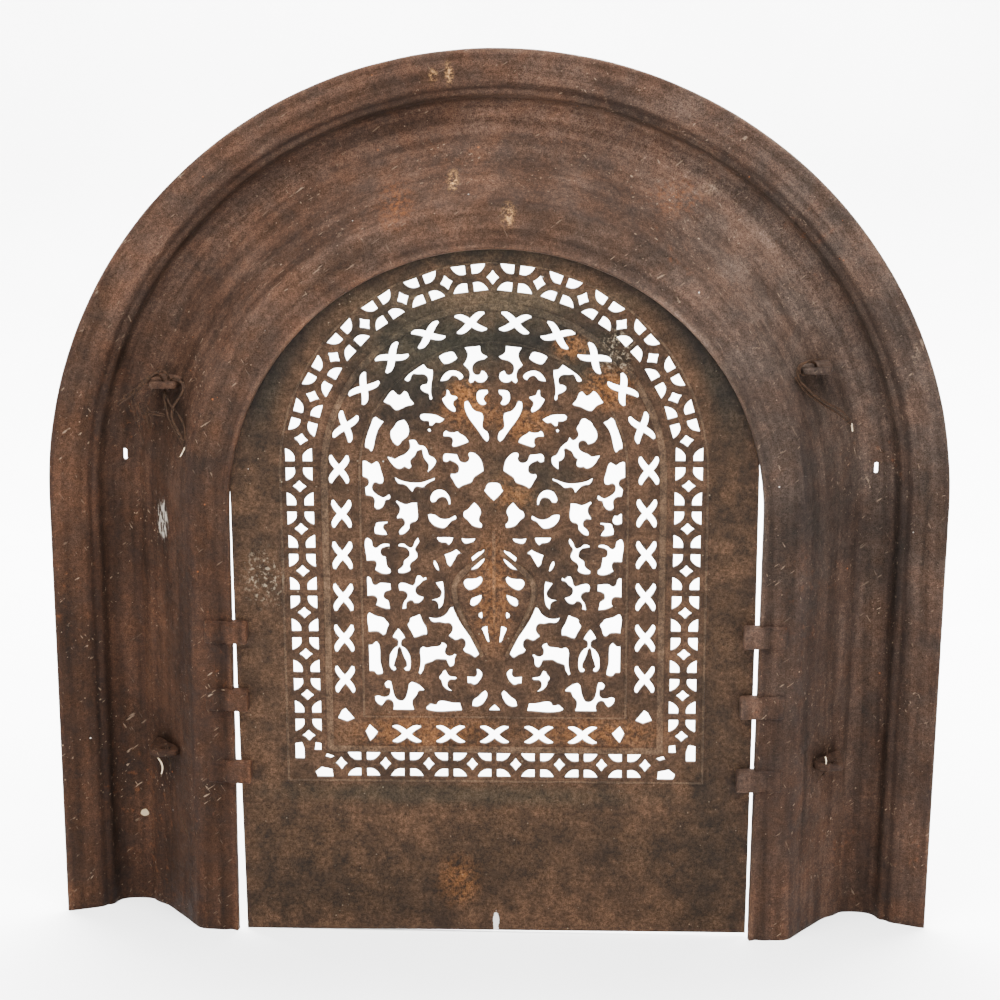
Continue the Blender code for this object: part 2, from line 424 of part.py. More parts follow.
# The cover: one flat plate pierced by the lattice band, the X row and the scrollwork.
def onPath(across, along, centre):
    """A point of a unit placed at centre = (x, z, turn), across outward and along the band."""
    x, z, turn = centre
    outward = (math.cos(turn), math.sin(turn))
    forward = (-math.sin(turn), math.cos(turn))
    return (x + across * outward[0] + along * forward[0], z + across * outward[1] + along * forward[1])


def archCentre(radius, degrees, height):
    turn = math.radians(degrees)
    return (radius * math.cos(turn), height + radius * math.sin(turn), turn)


def legCentre(side, height):
    """A unit of the band's legs, which draw in a little towards the sill."""
    return (side * (162.7 + (height - 185) * 0.0103), height + 0.9 * side, 0 if side > 0 else math.pi)


holes = []
bandUnits = [archCentre(bandRadius, 90 - 13.5 * i, bandArchHeight) for i in range(-6, 7)]
for side in (-1, 1):
    bandUnits += [legCentre(side, 411.0 - 37.67 * i) for i in range(7)]
bandUnits += [(x - 0.7, 158.3, -math.pi / 2) for x in (-134, -95.2, -57.2, -19, 19, 57.2, 94, 132)]
for centre in bandUnits:
    holes.append([onPath(a, b, centre) for a, b in ((6.2, 0), (0, 5.3), (-6.2, 0), (0, -5.3))])

# Four quarter holes sit midway between two diamonds, either side of a cross bar.
gapUnits = [archCentre(bandRadius, 90 - 13.5 * (i + 0.5), bandArchHeight) for i in range(-6, 6)]
for side in (-1, 1):
    gapUnits += [legCentre(side, height) for height in (430.2, 391.3, 353.6, 315.9, 278.3, 240.7, 203.1)]
gapUnits += [(x - 0.7, 157.6, -math.pi / 2) for x in (-114.2, -76.2, -38, 0, 38, 76.2, 114.2)]
for centre in gapUnits:
    for a in (-1, 1):
        for b in (-1, 1):
            quarter = [(3.6, 2.6), (11.4, 2.6), (11.4, 14.6), (3.2, 8.2)]
            holes.append([onPath(a * p, b * q, centre) for p, q in quarter])
for side in (-1, 1):
    holes.append([(side * x, z) for x, z in ((167, 162), (175, 162), (175, 177), (169, 178), (167, 172))])
    holes.append([(side * x, z) for x, z in ((152, 170), (158, 170), (157, 178), (152, 177))])
    holes.append([(side * x, z) for x, z in ((140, 165), (144, 162.5), (149, 164), (147, 167.5))])
    holes.append([(side * x, z) for x, z in ((142, 145), (156, 145), (158, 150), (152, 155), (143, 153))])

crossUnits = [archCentre(131.2, 90 - side * angle, drawnArchHeight)
              for angle in (8.1, 24.3, 40.2, 55.9, 72, 88.6) for side in (-1, 1)]
for side in (-1, 1):
    crossUnits += [(side * 129.9, height + 0.9 * side, 0) for height in (386.8, 349.8, 312, 274.9, 237.2)]
crossUnits += [(x, 186.1, -math.pi / 2) for x in (-76.9, -38.6, -0.3, 38.4, 76.5)]
for centre in crossUnits:
    outline = []
    for sa, sb, notch in ((1, 1, (0, 4.3)), (-1, 1, (-3.9, 0)), (-1, -1, (0, -4.3)), (1, -1, (3.9, 0))):
        tip = [(8.5 * sa, 8.2 * sb), (7.0 * sa, 12.5 * sb)]
        outline += (tip if sa * sb > 0 else tip[::-1]) + [notch]
    holes.append([onPath(a, b, centre) for a, b in outline])
for side in (-1, 1):
    holes.append([(side * x, z) for x, z in ((122, 200), (130, 210), (133, 208), (137, 200), (129, 197))])
    holes.append([(side * x, z) for x, z in ((102, 188), (109, 195), (113, 188), (109, 179), (106, 182))])

for outline in scroll.values():
    holes.append([(x, z - 2.7) for x, z in outline])
    holes.append([(-x, z - 2.7) for x, z in reversed(outline)])
for outline in (heartRight, heartLeft, ovalLeft, fanHole, footHole, sideHole):
    holes.append([(x, z - 2.7) for x, z in outline])



def stretchHole(x, z):
    """From the drawn plate to this one: the arch part grows with the width, the legs with the height."""
    across = coverHalf / drawnHalf
    if z > drawnArchHeight:
        return (x * across, coverArchHeight + (z - drawnArchHeight) * across)
    return (x * across, z * coverArchHeight / drawnArchHeight)


# The plate draws in a little towards its foot.
border = [(-coverFoot, 0), (coverFoot, 0), (coverHalf, archHeight - 90)]
border += [(coverHalf * math.cos(math.pi * i / 28), coverRimHeight + coverHalf * math.sin(math.pi * i / 28))
           for i in range(29)]
border.append((-coverHalf, archHeight - 90))


def plate(name, outlines, back, front, slot):
    """Fills the outlines as a flat curve with holes and gives it a thickness."""
    curve = bpy.data.curves.new(name, "CURVE")
    curve.dimensions = "2D"
    curve.fill_mode = "BOTH"
    curve.extrude = (front - back) / 2 * mm
    for outline in outlines:
        spline = curve.splines.new("POLY")
        spline.points.add(len(outline) - 1)
        for point, (x, z) in zip(spline.points, outline):
            point.co = (x * mm, z * mm, 0, 1)
        spline.use_cyclic_u = True
    holder = bpy.data.objects.new(name + "_curve", curve)
    bpy.context.collection.objects.link(holder)
    graph = bpy.context.evaluated_depsgraph_get()
    mesh = bpy.data.meshes.new_from_object(holder.evaluated_get(graph))
    bpy.data.objects.remove(holder, do_unlink=True)
    bm = bmesh.new()
    bm.from_mesh(mesh)
    middle = ((front + back) / 2 + yShift) * mm
    for vert in bm.verts:
        x, z, depth = vert.co
        lean = coverFoot * mm + x
        vert.co = (coverShift * mm + x * math.cos(coverLean) - z * math.sin(coverLean), middle + depth,
                   lean * math.sin(coverLean) + z * math.cos(coverLean))
    bmesh.ops.remove_doubles(bm, verts=bm.verts[:], dist=0.00002)
    return fromBmesh(name, bm, slot)


tolerance = 1.4
thinned = [thin(hole, tolerance) if len(hole) > 8 else hole for hole in holes]
pierced = [border] + [[stretchHole(x, z) for x, z in hole] for hole in thinned]
plate("summer_cover", pierced, coverBack, coverBack + coverThickness, coverIron)


# Tie wires left on the ears, each one strand with closed ends.
def strand(name, ear, points, radius):
    """The points are (across, depth, up) from the ear's middle."""
    curve = bpy.data.curves.new(name, "CURVE")
    curve.dimensions = "3D"
    curve.bevel_depth = radius * mm
    curve.bevel_resolution = 0
    curve.use_fill_caps = True
    curve.resolution_u = 2
    spline = curve.splines.new("NURBS")
    spline.points.add(len(points) - 1)
    for point, (x, y, z) in zip(spline.points, points):
        point.co = (*place(earPlaces[ear][0] + x, y, earPlaces[ear][1] + z), 1)
    spline.use_endpoint_u = True
    spline.order_u = 3
    made = bpy.data.objects.new(name, curve)
    curve.materials.append(tieWire)
    bpy.context.collection.objects.link(made)
    return made


strand("tie_wire_upper_left", 0,
       [(-8, 25, -32), (-4, 27, -18), (0, 28.5, -8), (0, 28.5, 2), (0.5, 28, 10), (8, 26, 10.5),
        (18, 24, 8), (21, 22, 0), (18, 19, -8), (13, 18, -16), (9, 17, -24), (13, 13, -36), (19, 8, -50)],
       1.0)
strand("tie_wire_upper_right", 1,
       [(1, 28.5, -11), (1, 28.5, 0), (0.5, 28, 8), (-7, 26, 8), (-16, 23, 5), (-19.5, 20, -3),
        (-17, 18, -12), (-7, 19, -21), (6, 22, -31), (20, 26, -39), (30, 28, -50)],
       0.8)
strand("tie_wire_lower_left", 2,
       [(0, 28.5, 8), (0, 28.5, -2), (-2, 26, -10), (-1, 24, -17), (-4, 24, -25)],
       0.7)
strand("tie_wire_lower_right", 3,
       [(3, 27, 12), (0, 28.5, 5), (0, 28.5, -4), (-3, 26, -11), (-6, 25, -18)],
       0.7)
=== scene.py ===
import math

import bmesh
import bpy
from mathutils import Matrix, Vector, noise


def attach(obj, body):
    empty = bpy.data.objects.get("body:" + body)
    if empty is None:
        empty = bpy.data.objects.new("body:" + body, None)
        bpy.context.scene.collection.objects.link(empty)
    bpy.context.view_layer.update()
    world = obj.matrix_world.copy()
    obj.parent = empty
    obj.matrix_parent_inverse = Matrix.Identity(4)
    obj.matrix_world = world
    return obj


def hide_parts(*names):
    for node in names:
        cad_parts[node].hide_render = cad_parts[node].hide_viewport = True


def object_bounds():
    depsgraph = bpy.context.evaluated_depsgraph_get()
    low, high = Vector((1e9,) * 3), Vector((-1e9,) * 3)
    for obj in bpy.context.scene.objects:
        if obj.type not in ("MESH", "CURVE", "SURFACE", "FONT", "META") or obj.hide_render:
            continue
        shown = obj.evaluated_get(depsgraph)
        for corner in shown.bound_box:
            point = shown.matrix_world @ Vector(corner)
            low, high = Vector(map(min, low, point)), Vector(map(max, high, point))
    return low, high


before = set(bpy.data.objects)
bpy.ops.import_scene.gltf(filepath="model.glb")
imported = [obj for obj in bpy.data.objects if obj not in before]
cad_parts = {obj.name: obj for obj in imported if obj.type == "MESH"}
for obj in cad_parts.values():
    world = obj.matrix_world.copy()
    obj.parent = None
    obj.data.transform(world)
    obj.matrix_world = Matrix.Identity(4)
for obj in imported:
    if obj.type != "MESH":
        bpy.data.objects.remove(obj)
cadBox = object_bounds()
mm = 0.001
depthShift = -30.3  # depth 0 is the back of the flange round the opening
archHeight = 390.0
outerRadius = 387.5
print("frame loaded:", sorted(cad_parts))


# node helpers

def join(tree, socket, value):
    if isinstance(value, bpy.types.NodeSocket):
        tree.links.new(value, socket)
    elif isinstance(value, tuple) and socket.type == "RGBA":
        socket.default_value = (*value, 1)
    else:
        socket.default_value = value


def maths(tree, operation, a, b=0.0, c=0.0):
    node = tree.nodes.new("ShaderNodeMath")
    node.operation = operation
    for socket, item in zip(node.inputs, (a, b, c)):
        join(tree, socket, item)
    return node.outputs[0]


def times(tree, a, b):
    return maths(tree, "MULTIPLY", a, b)


def fade(tree, value, low, high, start=0.0, end=1.0):
    node = tree.nodes.new("ShaderNodeMapRange")
    node.interpolation_type = "SMOOTHSTEP"
    for socket, item in zip(node.inputs[:5], (value, low, high, start, end)):
        join(tree, socket, item)
    return node.outputs[0]


def clouds(tree, coords, size, detail=3.0, rough=0.55, twist=0.0):
    node = tree.nodes.new("ShaderNodeTexNoise")
    join(tree, node.inputs["Vector"], coords)
    node.inputs["Scale"].default_value = 1 / (size * mm)
    node.inputs["Detail"].default_value = detail
    node.inputs["Roughness"].default_value = rough
    node.inputs["Distortion"].default_value = twist
    return node.outputs[0]


def stretched(tree, coords, scale, turn=(0, 0, 0)):
    node = tree.nodes.new("ShaderNodeMapping")
    join(tree, node.inputs["Vector"], coords)
    node.inputs["Scale"].default_value = scale
    node.inputs["Rotation"].default_value = turn
    return node.outputs[0]


def tint(tree, amount, under, over, how="MIX"):
    node = tree.nodes.new("ShaderNodeMix")
    node.data_type = "RGBA"
    node.blend_type = how
    join(tree, node.inputs[0], amount)
    join(tree, node.inputs[6], under)
    join(tree, node.inputs[7], over)
    return node.outputs[2]


def layer(tree, colour, paint, mask, strength):
    return tint(tree, times(tree, mask, strength), colour, paint)


def flecks(tree, coords, size, radius, share):
    # round dots of the given radius, kept in only a share of the cells
    node = tree.nodes.new("ShaderNodeTexVoronoi")
    join(tree, node.inputs["Vector"], coords)
    node.inputs["Scale"].default_value = 1 / (size * mm)
    near = fade(tree, node.outputs["Distance"], radius / size, radius / size * 0.6)
    parts = tree.nodes.new("ShaderNodeSeparateColor")
    join(tree, parts.inputs[0], node.outputs["Color"])
    return times(tree, near, fade(tree, parts.outputs[0], 1 - share, 1 - share + 0.02))


def speckled(tree, colour, place, look, dust):
    for size, radius, share, strength, paint in look["flecks"]:
        specks = times(tree, flecks(tree, place, size, radius, share), dust)
        colour = layer(tree, colour, look[paint], specks, strength)
    return colour


def patch(tree, coords, centre, reach, ragged, soft=0.5):
    # a ragged spot at (x, z) in millimetres, whatever its depth
    spread = tree.nodes.new("ShaderNodeMapping")
    spread.vector_type = "TEXTURE"
    join(tree, spread.inputs["Vector"], coords)
    spread.inputs["Location"].default_value = (centre[0] * mm, 0, centre[1] * mm)
    spread.inputs["Scale"].default_value = (reach[0] * mm, 10, reach[1] * mm)
    size = tree.nodes.new("ShaderNodeVectorMath")
    size.operation = "LENGTH"
    join(tree, size.inputs[0], spread.outputs[0])
    edge = maths(tree, "MULTIPLY_ADD", ragged, 1.3, size.outputs["Value"])
    return fade(tree, edge, 1.65 + soft, 1.65 - soft)


def blankMaterial(name):
    made = bpy.data.materials.new(name)
    made.use_nodes = True
    tree = made.node_tree
    shader = tree.nodes["Principled BSDF"]
    place = tree.nodes.new("ShaderNodeTexCoord").outputs["Object"]
    return made, tree, shader, place


def grainBump(tree, shader, layers):
    # each layer is (height socket, depth in millimetres)
    below = None
    for height, depth in layers:
        node = tree.nodes.new("ShaderNodeBump")
        node.inputs["Strength"].default_value = 1.0
        node.inputs["Distance"].default_value = depth * mm
        join(tree, node.inputs["Height"], height)
        if below:
            join(tree, node.inputs["Normal"], below)
        below = node.outputs[0]
    join(tree, shader.inputs["Normal"], below)


# the surround's rusty casting skin

# flecks are (cell size, radius, share of cells, strength, colour)
ironLook = {
    "coolHue": (1.42, 0.98, 0.75),
    "warmHue": (1.74, 0.77, 0.40),
    "rust": (0.13, 0.042, 0.012),
    "orange": (0.34, 0.095, 0.018),
    "white": (0.46, 0.43, 0.39),
    "pale": (0.22, 0.155, 0.105),
    "flecks": [(3.6, 0.50, 0.10, 0.55, "pale"), (5.7, 0.62, 0.13, 0.75, "pale"),
               (12, 0.95, 0.16, 0.8, "pale"), (17, 1.1, 0.10, 0.75, "orange"),
               (24, 0.85, 0.14, 0.85, "white")],
    "splash": (0.30, 0.27, 0.23),
    "lime": (0.27, 0.21, 0.13),
    "ochre": (0.36, 0.19, 0.07),
    # colour, middle (x, z), reach (x, z), strength
    "marks": [("ochre", (-42, 756), (3, 8), 0.8), ("ochre", (-55, 754), (3, 6), 0.7),
              ("ochre", (-38, 669), (4, 6), 0.85), ("ochre", (9, 644), (5, 8), 0.75),
              ("pale", (176, 661), (8, 5), 0.5), ("rust", (-85, 650), (12, 16), 0.5),
              ("rust", (150, 655), (20, 12), 0.45), ("pale", (352, 527), (3, 7), 0.6)],
}


def oldIron(name, look):
    made, tree, shader, place = blankMaterial(name)
    run = tree.nodes.new("ShaderNodeUVMap")
    run.uv_map = "run"
    along = stretched(tree, run.outputs[0], (1.0, 0.05, 1.0))
    # this attribute carries the skin's lightness with painted light and shade baked in
    shadedTone = tree.nodes.new("ShaderNodeAttribute")
    shadedTone.attribute_name = "shadedTone"
    broad = clouds(tree, place, 85, 4)
    middle = clouds(tree, place, 17, 5, 0.62)
    small = clouds(tree, place, 3.2, 4, 0.65)
    grain = clouds(tree, place, 0.9, 3, 0.7)
    streaks = clouds(tree, along, 8, 4, 0.6)
    ragged = clouds(tree, place, 9, 4, 0.7)

    value = times(tree, shadedTone.outputs["Fac"], fade(tree, broad, 0.3, 0.72, 0.72, 1.30))
    value = times(tree, value, fade(tree, middle, 0.3, 0.72, 0.76, 1.26))
    value = times(tree, value, fade(tree, small, 0.28, 0.74, 0.70, 1.34))
    value = times(tree, value, fade(tree, grain, 0.3, 0.72, 0.42, 1.62))
    value = times(tree, value, fade(tree, streaks, 0.28, 0.72, 0.62, 1.36))
    warm = tree.nodes.new("ShaderNodeAttribute")
    warm.attribute_name = "warm"
    redness = fade(tree, clouds(tree, place, 30, 5, 0.65, 0.4), 0.34, 0.66, -0.17, 0.17)
    hue = tint(tree, maths(tree, "ADD", redness, warm.outputs["Fac"]), look["coolHue"], look["warmHue"])
    colour = tint(tree, 1.0, hue, value, "MULTIPLY")

    rustArea = fade(tree, clouds(tree, place, 120, 3), 0.52, 0.70)
    rustSpots = times(tree, rustArea, fade(tree, clouds(tree, place, 7, 5, 0.7), 0.56, 0.72))
    colour = layer(tree, colour, look["rust"], rustSpots, 0.42)
    colour = layer(tree, colour, look["rust"], flecks(tree, place, 13, 0.85, 0.10), 0.8)
    dust = fade(tree, clouds(tree, place, 60, 3), 0.42, 0.66, 0.25, 1.0)
    colour = speckled(tree, colour, place, look, dust)
    for turn, shift in ((0.5, 0.0), (-0.9, 3.0), (2.2, 7.0)):
        lie = stretched(tree, stretched(tree, place, (1, 1, 1), (0, turn, 0)), (1, 1, 0.14))
        scratch = fade(tree, clouds(tree, lie, 2.3 + shift * 0.05, 2, 0.5), 0.70, 0.76)
        colour = layer(tree, colour, look["pale"], times(tree, scratch, dust), 0.5)
    colour = layer(tree, colour, look["pale"], flecks(tree, place, 41, 1.5, 0.10), 0.85)
    pits = times(tree, fade(tree, clouds(tree, place, 2.4, 3, 0.6), 0.36, 0.27), 0.6)
    colour = tint(tree, pits, colour, (0.012, 0.008, 0.006))
    smear = times(tree, patch(tree, place, (-290, 370), (5, 17), ragged, 0.25),
                  fade(tree, clouds(tree, stretched(tree, place, (1, 1, 0.3)), 2.4, 3), 0.46, 0.58))
    colour = layer(tree, colour, look["splash"], smear, 0.75)
    chips = fade(tree, clouds(tree, place, 4.5, 6, 0.8), 0.47, 0.60)
    for paint, centre, reach, strength in look["marks"]:
        mark = times(tree, patch(tree, place, centre, reach, ragged, 0.8), chips)
        colour = layer(tree, colour, look[paint], mark, strength)
    plaster = patch(tree, place, (-320, 85), (3.6, 3.6), ragged, 0.12)
    colour = layer(tree, colour, look["lime"], plaster, 0.8)
    join(tree, shader.inputs["Base Color"], colour)
    join(tree, shader.inputs["Roughness"], fade(tree, middle, 0.3, 0.7, 0.66, 0.9))
    shader.inputs["Metallic"].default_value = 0.0
    shader.inputs["Specular IOR Level"].default_value = 0.07
    grainBump(tree, shader, [(streaks, 0.6), (middle, 0.9), (small, 0.3), (grain, 0.16)])
    return made


ironSkin = oldIron("rusty_casting_skin", ironLook)
print("material: rusty casting skin")


# the cover's skin: greenish black at the top, brown below, rust where water stood, and painted shadow along
# the arch edge under the flange

coverLook = {
    "brown": (0.032, 0.0168, 0.0092),
    "dark": (0.0105, 0.0066, 0.0042),
    # near black, for the darkest patches and for the painted shadow along the arch edge
    "sootAndShade": (0.0072, 0.0064, 0.0048),
    "green": (0.0142, 0.0126, 0.0082),
    "tan": (0.048, 0.033, 0.019),
    "rust": (0.125, 0.047, 0.0125),
    "pale": (0.200, 0.160, 0.110),
    "white": (0.50, 0.48, 0.44),
    "flecks": [(3.8, 0.50, 0.08, 0.5, "pale"), (6.1, 0.65, 0.12, 0.65, "pale"),
               (13, 0.95, 0.14, 0.7, "pale"), (19, 0.8, 0.08, 0.8, "white")],
    "flaked": [((-199, 330), (16, 22), 4, 0.64, 0.55), ((100, 531), (12, 17), 3, 0.62, 0.6)],
}
# colour, middle (x, z), reach (x, z), strength
coverPatches = [
    ("green", (-5, 640), (230, 34), 0.85),
    ("sootAndShade", (0, 536), (80, 17), 0.9),
    ("sootAndShade", (-78, 500), (36, 34), 0.75),
    ("sootAndShade", (60, 548), (44, 15), 0.7),
    ("sootAndShade", (-30, 500), (22, 14), 0.5),
    ("sootAndShade", (-70, 405), (24, 18), 0.35),
    ("sootAndShade", (60, 340), (30, 26), 0.3),
    ("green", (-60, 545), (60, 40), 0.75),
    ("green", (20, 570), (40, 18), 0.7),
    ("green", (75, 520), (26, 20), 0.6),
    ("tan", (0, 575), (120, 9), 0.35),
    ("rust", (93, 500), (18, 15), 0.55),
    ("rust", (62, 535), (13, 10), 0.4),
    ("rust", (-22, 478), (22, 13), 0.36),
    ("rust", (24, 470), (18, 15), 0.4),
    ("rust", (15, 409), (16, 14), 0.5),
    ("rust", (-26, 492), (14, 12), 0.5),
    ("rust", (-2, 320), (16, 44), 0.32),
    ("rust", (-31, 50), (16, 20), 0.45),
    ("rust", (-60, 190), (60, 14), 0.3),
    ("rust", (90, 192), (50, 12), 0.3),
    ("dark", (-205, 520), (30, 150), 0.6),
    ("green", (-40, 132), (150, 9), 0.55),
    ("dark", (30, 76), (190, 24), 0.35),
    ("dark", (200, 520), (28, 120), 0.55),
    ("dark", (196, 150), (26, 190), 0.55),
    ("dark", (-120, 40), (110, 26), 0.5),
    ("dark", (-180, 90), (44, 80), 0.4),
    ("dark", (190, 60), (40, 70), 0.4),
    ("green", (30, 415), (38, 22), 0.5),
]


def coverSkin(name, look, patches):
    made, tree, shader, place = blankMaterial(name)
    broad = clouds(tree, place, 70, 4)
    middle = clouds(tree, place, 15, 5, 0.62)
    small = clouds(tree, place, 3.0, 4, 0.65)
    grain = clouds(tree, place, 0.9, 3, 0.7)
    ragged = clouds(tree, place, 15, 6, 0.72)
    scabs = fade(tree, clouds(tree, place, 6, 6, 0.75), 0.42, 0.56, 0.12, 1.25)
    lines = clouds(tree, stretched(tree, place, (0.06, 1.0, 1.0)), 4.5, 3, 0.6)
    colour = tint(tree, fade(tree, broad, 0.34, 0.66), look["dark"], look["brown"])
    colour = tint(tree, 0.55, colour, look["brown"])
    for finish, centre, reach, strength in patches:
        mask = patch(tree, place, centre, reach, ragged, 0.7)
        if finish == "rust":
            mask = times(tree, mask, scabs)
        colour = layer(tree, colour, look[finish], mask, strength)
    # a ring along the arch edge under the flange, darkened partly as painted shadow and partly as the
    # cover's own black
    spread = tree.nodes.new("ShaderNodeMapping")
    spread.vector_type = "TEXTURE"
    join(tree, spread.inputs["Vector"], place)
    spread.inputs["Location"].default_value = (-0.002, 0, 0.424)
    spread.inputs["Scale"].default_value = (1, 10000, 1)
    fromCentre = tree.nodes.new("ShaderNodeVectorMath")
    fromCentre.operation = "LENGTH"
    join(tree, fromCentre.inputs[0], spread.outputs[0])
    height = tree.nodes.new("ShaderNodeSeparateXYZ")
    join(tree, height.inputs[0], place)
    radius = maths(tree, "MULTIPLY_ADD", ragged, 0.022, fromCentre.outputs["Value"])
    shade = times(tree, fade(tree, radius, 0.196, 0.214), fade(tree, height.outputs["Z"], 0.43, 0.50))
    colour = layer(tree, colour, look["sootAndShade"], shade, 0.8)
    value = times(tree, fade(tree, middle, 0.3, 0.72, 0.56, 1.42), fade(tree, small, 0.28, 0.74, 0.56, 1.5))
    value = times(tree, value, fade(tree, grain, 0.3, 0.72, 0.45, 1.6))
    value = times(tree, value, fade(tree, lines, 0.3, 0.7, 0.90, 1.08))
    colour = tint(tree, 1.0, colour, value, "MULTIPLY")
    for centre, reach, size, full, strength in look["flaked"]:
        flaked = times(tree, patch(tree, place, centre, reach, ragged),
                       fade(tree, clouds(tree, place, size, 4, 0.7), 0.53, full))
        colour = layer(tree, colour, look["pale"], flaked, strength)
    dust = fade(tree, clouds(tree, place, 50, 3), 0.42, 0.66, 0.3, 1.0)
    colour = speckled(tree, colour, place, look, dust)
    pits = times(tree, fade(tree, clouds(tree, place, 2.6, 3, 0.6), 0.36, 0.27), 0.6)
    colour = tint(tree, pits, colour, (0.012, 0.009, 0.006))
    chip = patch(tree, place, (2.7, 10), (2.6, 10), clouds(tree, place, 3, 3), 0.1)
    colour = layer(tree, colour, look["white"], chip, 0.9)
    join(tree, shader.inputs["Base Color"], colour)
    join(tree, shader.inputs["Roughness"], fade(tree, middle, 0.3, 0.7, 0.62, 0.88))
    shader.inputs["Specular IOR Level"].default_value = 0.07
    grainBump(tree, shader, [(middle, 0.9), (small, 0.32), (grain, 0.18)])
    return made


coverIron = coverSkin("rusty_cover_skin", coverLook, coverPatches)
# raised lines get a lighter skin than the plate
lighterLineLook = {**coverLook, "brown": (0.046, 0.027, 0.0155), "dark": (0.020, 0.0135, 0.0085),
          "sootAndShade": (0.011, 0.009, 0.0066)}
lighterLineIron = coverSkin("lighter_line_skin", lighterLineLook, coverPatches)
print("material: cover skin")


def plainIron(name, low, high, size, gloss):
    made, tree, shader, place = blankMaterial(name)
    mottle = clouds(tree, place, size, 5, 0.65)
    colour = tint(tree, fade(tree, mottle, 0.32, 0.68), low, high)
    colour = layer(tree, colour, (0.3, 0.24, 0.17), flecks(tree, place, 4, 0.5, 0.10), 0.3)
    join(tree, shader.inputs["Base Color"], colour)
    join(tree, shader.inputs["Roughness"], fade(tree, mottle, 0.3, 0.7, gloss, gloss + 0.2))
    shader.inputs["Specular IOR Level"].default_value = 0.06
    grainBump(tree, shader, [(mottle, 0.2), (clouds(tree, place, 0.8, 2), 0.1)])
    return made


wireSkin = plainIron("old_tie_wire", (0.0060, 0.0034, 0.0022), (0.030, 0.0160, 0.0092), 2.2, 0.7)
strawSkin = plainIron("dry_straw", (0.26, 0.19, 0.11), (0.55, 0.46, 0.33), 2.5, 0.7)
print("material: wire and straw")


# shape helpers

def standing(name, data):
    made = bpy.data.objects.new(name, data)
    bpy.context.collection.objects.link(made)
    return made


def frozen(item):
    # the mesh that the object shows, with its curve or modifier applied
    graph = bpy.context.evaluated_depsgraph_get()
    return bpy.data.meshes.new_from_object(item.evaluated_get(graph))


def curveMesh(name, curve):
    holder = standing(name, curve)
    mesh = frozen(holder)
    bpy.data.objects.remove(holder, do_unlink=True)
    bm = bmesh.new()
    bm.from_mesh(mesh)
    bmesh.ops.remove_doubles(bm, verts=bm.verts[:], dist=0.00001)
    return bm


def newVerts(made):
    return [item for item in made if isinstance(item, bmesh.types.BMVert)]


def newEdges(made, tips):
    return [item for item in made if isinstance(item, bmesh.types.BMEdge)
            and item.verts[0] in tips and item.verts[1] in tips]


def smooth(faces):
    for face in faces:
        face.smooth = True


def spot(x, depth, z):
    return Vector((x * mm, (depth + depthShift) * mm, z * mm))


def softRun(points, gap, closed=False, sharp=62):
    # a smooth line through given points, which keeps its sharp corners
    count = len(points)
    points = [Vector(p) for p in points]

    def heading(i):
        if not closed and i in (0, count - 1):
            return None
        before = points[i] - points[i - 1]
        after = points[(i + 1) % count] - points[i]
        if before.length < 1e-6 or after.length < 1e-6 or math.degrees(before.angle(after)) > sharp:
            return None
        return (before.normalized() + after.normalized()).normalized()

    made = []
    for i in range(count if closed else count - 1):
        a, b = points[i], points[(i + 1) % count]
        chord = b - a
        start, end = heading(i), heading((i + 1) % count)
        steps = 1 if start is None and end is None else max(1, round(chord.length / gap))
        start = (start or chord.normalized()) * chord.length
        end = (end or chord.normalized()) * chord.length
        for k in range(steps):
            t = k / steps
            h = (2 * t ** 3 - 3 * t * t + 1, t ** 3 - 2 * t * t + t, 3 * t * t - 2 * t ** 3, t ** 3 - t * t)
            made.append(a * h[0] + start * h[1] + b * h[2] + end * h[3])
    if not closed:
        made.append(points[-1])
    return made


def keepInside(bm):
    low, high = cadBox
    for vert in bm.verts:
        for axis in range(3):
            vert.co[axis] = min(max(vert.co[axis], low[axis]), high[axis])


def finishPiece(name, bm, skin, *nodes):
    mesh = bpy.data.meshes.new(name)
    bm.to_mesh(mesh)
    bm.free()
    mesh.materials.append(skin)
    piece = standing(name, mesh)
    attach(piece, "root")
    if nodes:
        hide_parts(*nodes)
    return piece


def between(stops, value):
    if value <= stops[0][0]:
        return stops[0][1]
    for (a, low), (b, high) in zip(stops, stops[1:]):
        if value <= b:
            return low + (high - low) * (value - a) / (b - a)
    return stops[-1][1]


# how light the skin is across the moulding and round the arch (degrees; legs run on past 0 and 180); partly
# the skin's own colour and partly painted light and shade: painted shade in the grooves, lighter rim edges
# that are part wear and part painted highlight, painted light on the crown
acrossShadedTone = [(0, 1.25), (2, 1.0), (26, 1.0), (30, 0.8), (33, 0.52), (36, 0.9), (40, 0.5), (46, 0.82),
              (60, 0.95), (90, 1.05), (111, 0.95), (116, 0.80), (121, 0.95), (156.5, 0.88), (158, 1.5),
              (161, 1.6)]
roundShadedTone = [(-78, 0.0150), (-40, 0.0110), (0, 0.0125), (20, 0.019), (45, 0.0255), (90, 0.0235),
             (150, 0.0185), (180, 0.0125), (215, 0.0092), (258, 0.0115)]
# how brown it is round the arch, from a cool grey brown to a warm one
roundWarmth = [(-78, 0.70), (-20, 0.42), (0, 0.2), (40, 0.15), (90, 0.6), (150, 0.6), (180, 0.85),
               (215, 1.1), (258, 1.1)]
# painted light and shade that the crown adds to that: lighter on the ridge, darker inward of it
crownLightAndShade = [(0, 0.0), (40, 0.0), (46, 0.3), (70, 0.3), (82, -0.1), (100, -0.2), (118, -0.2), (130, -0.16),
             (161, -0.16)]
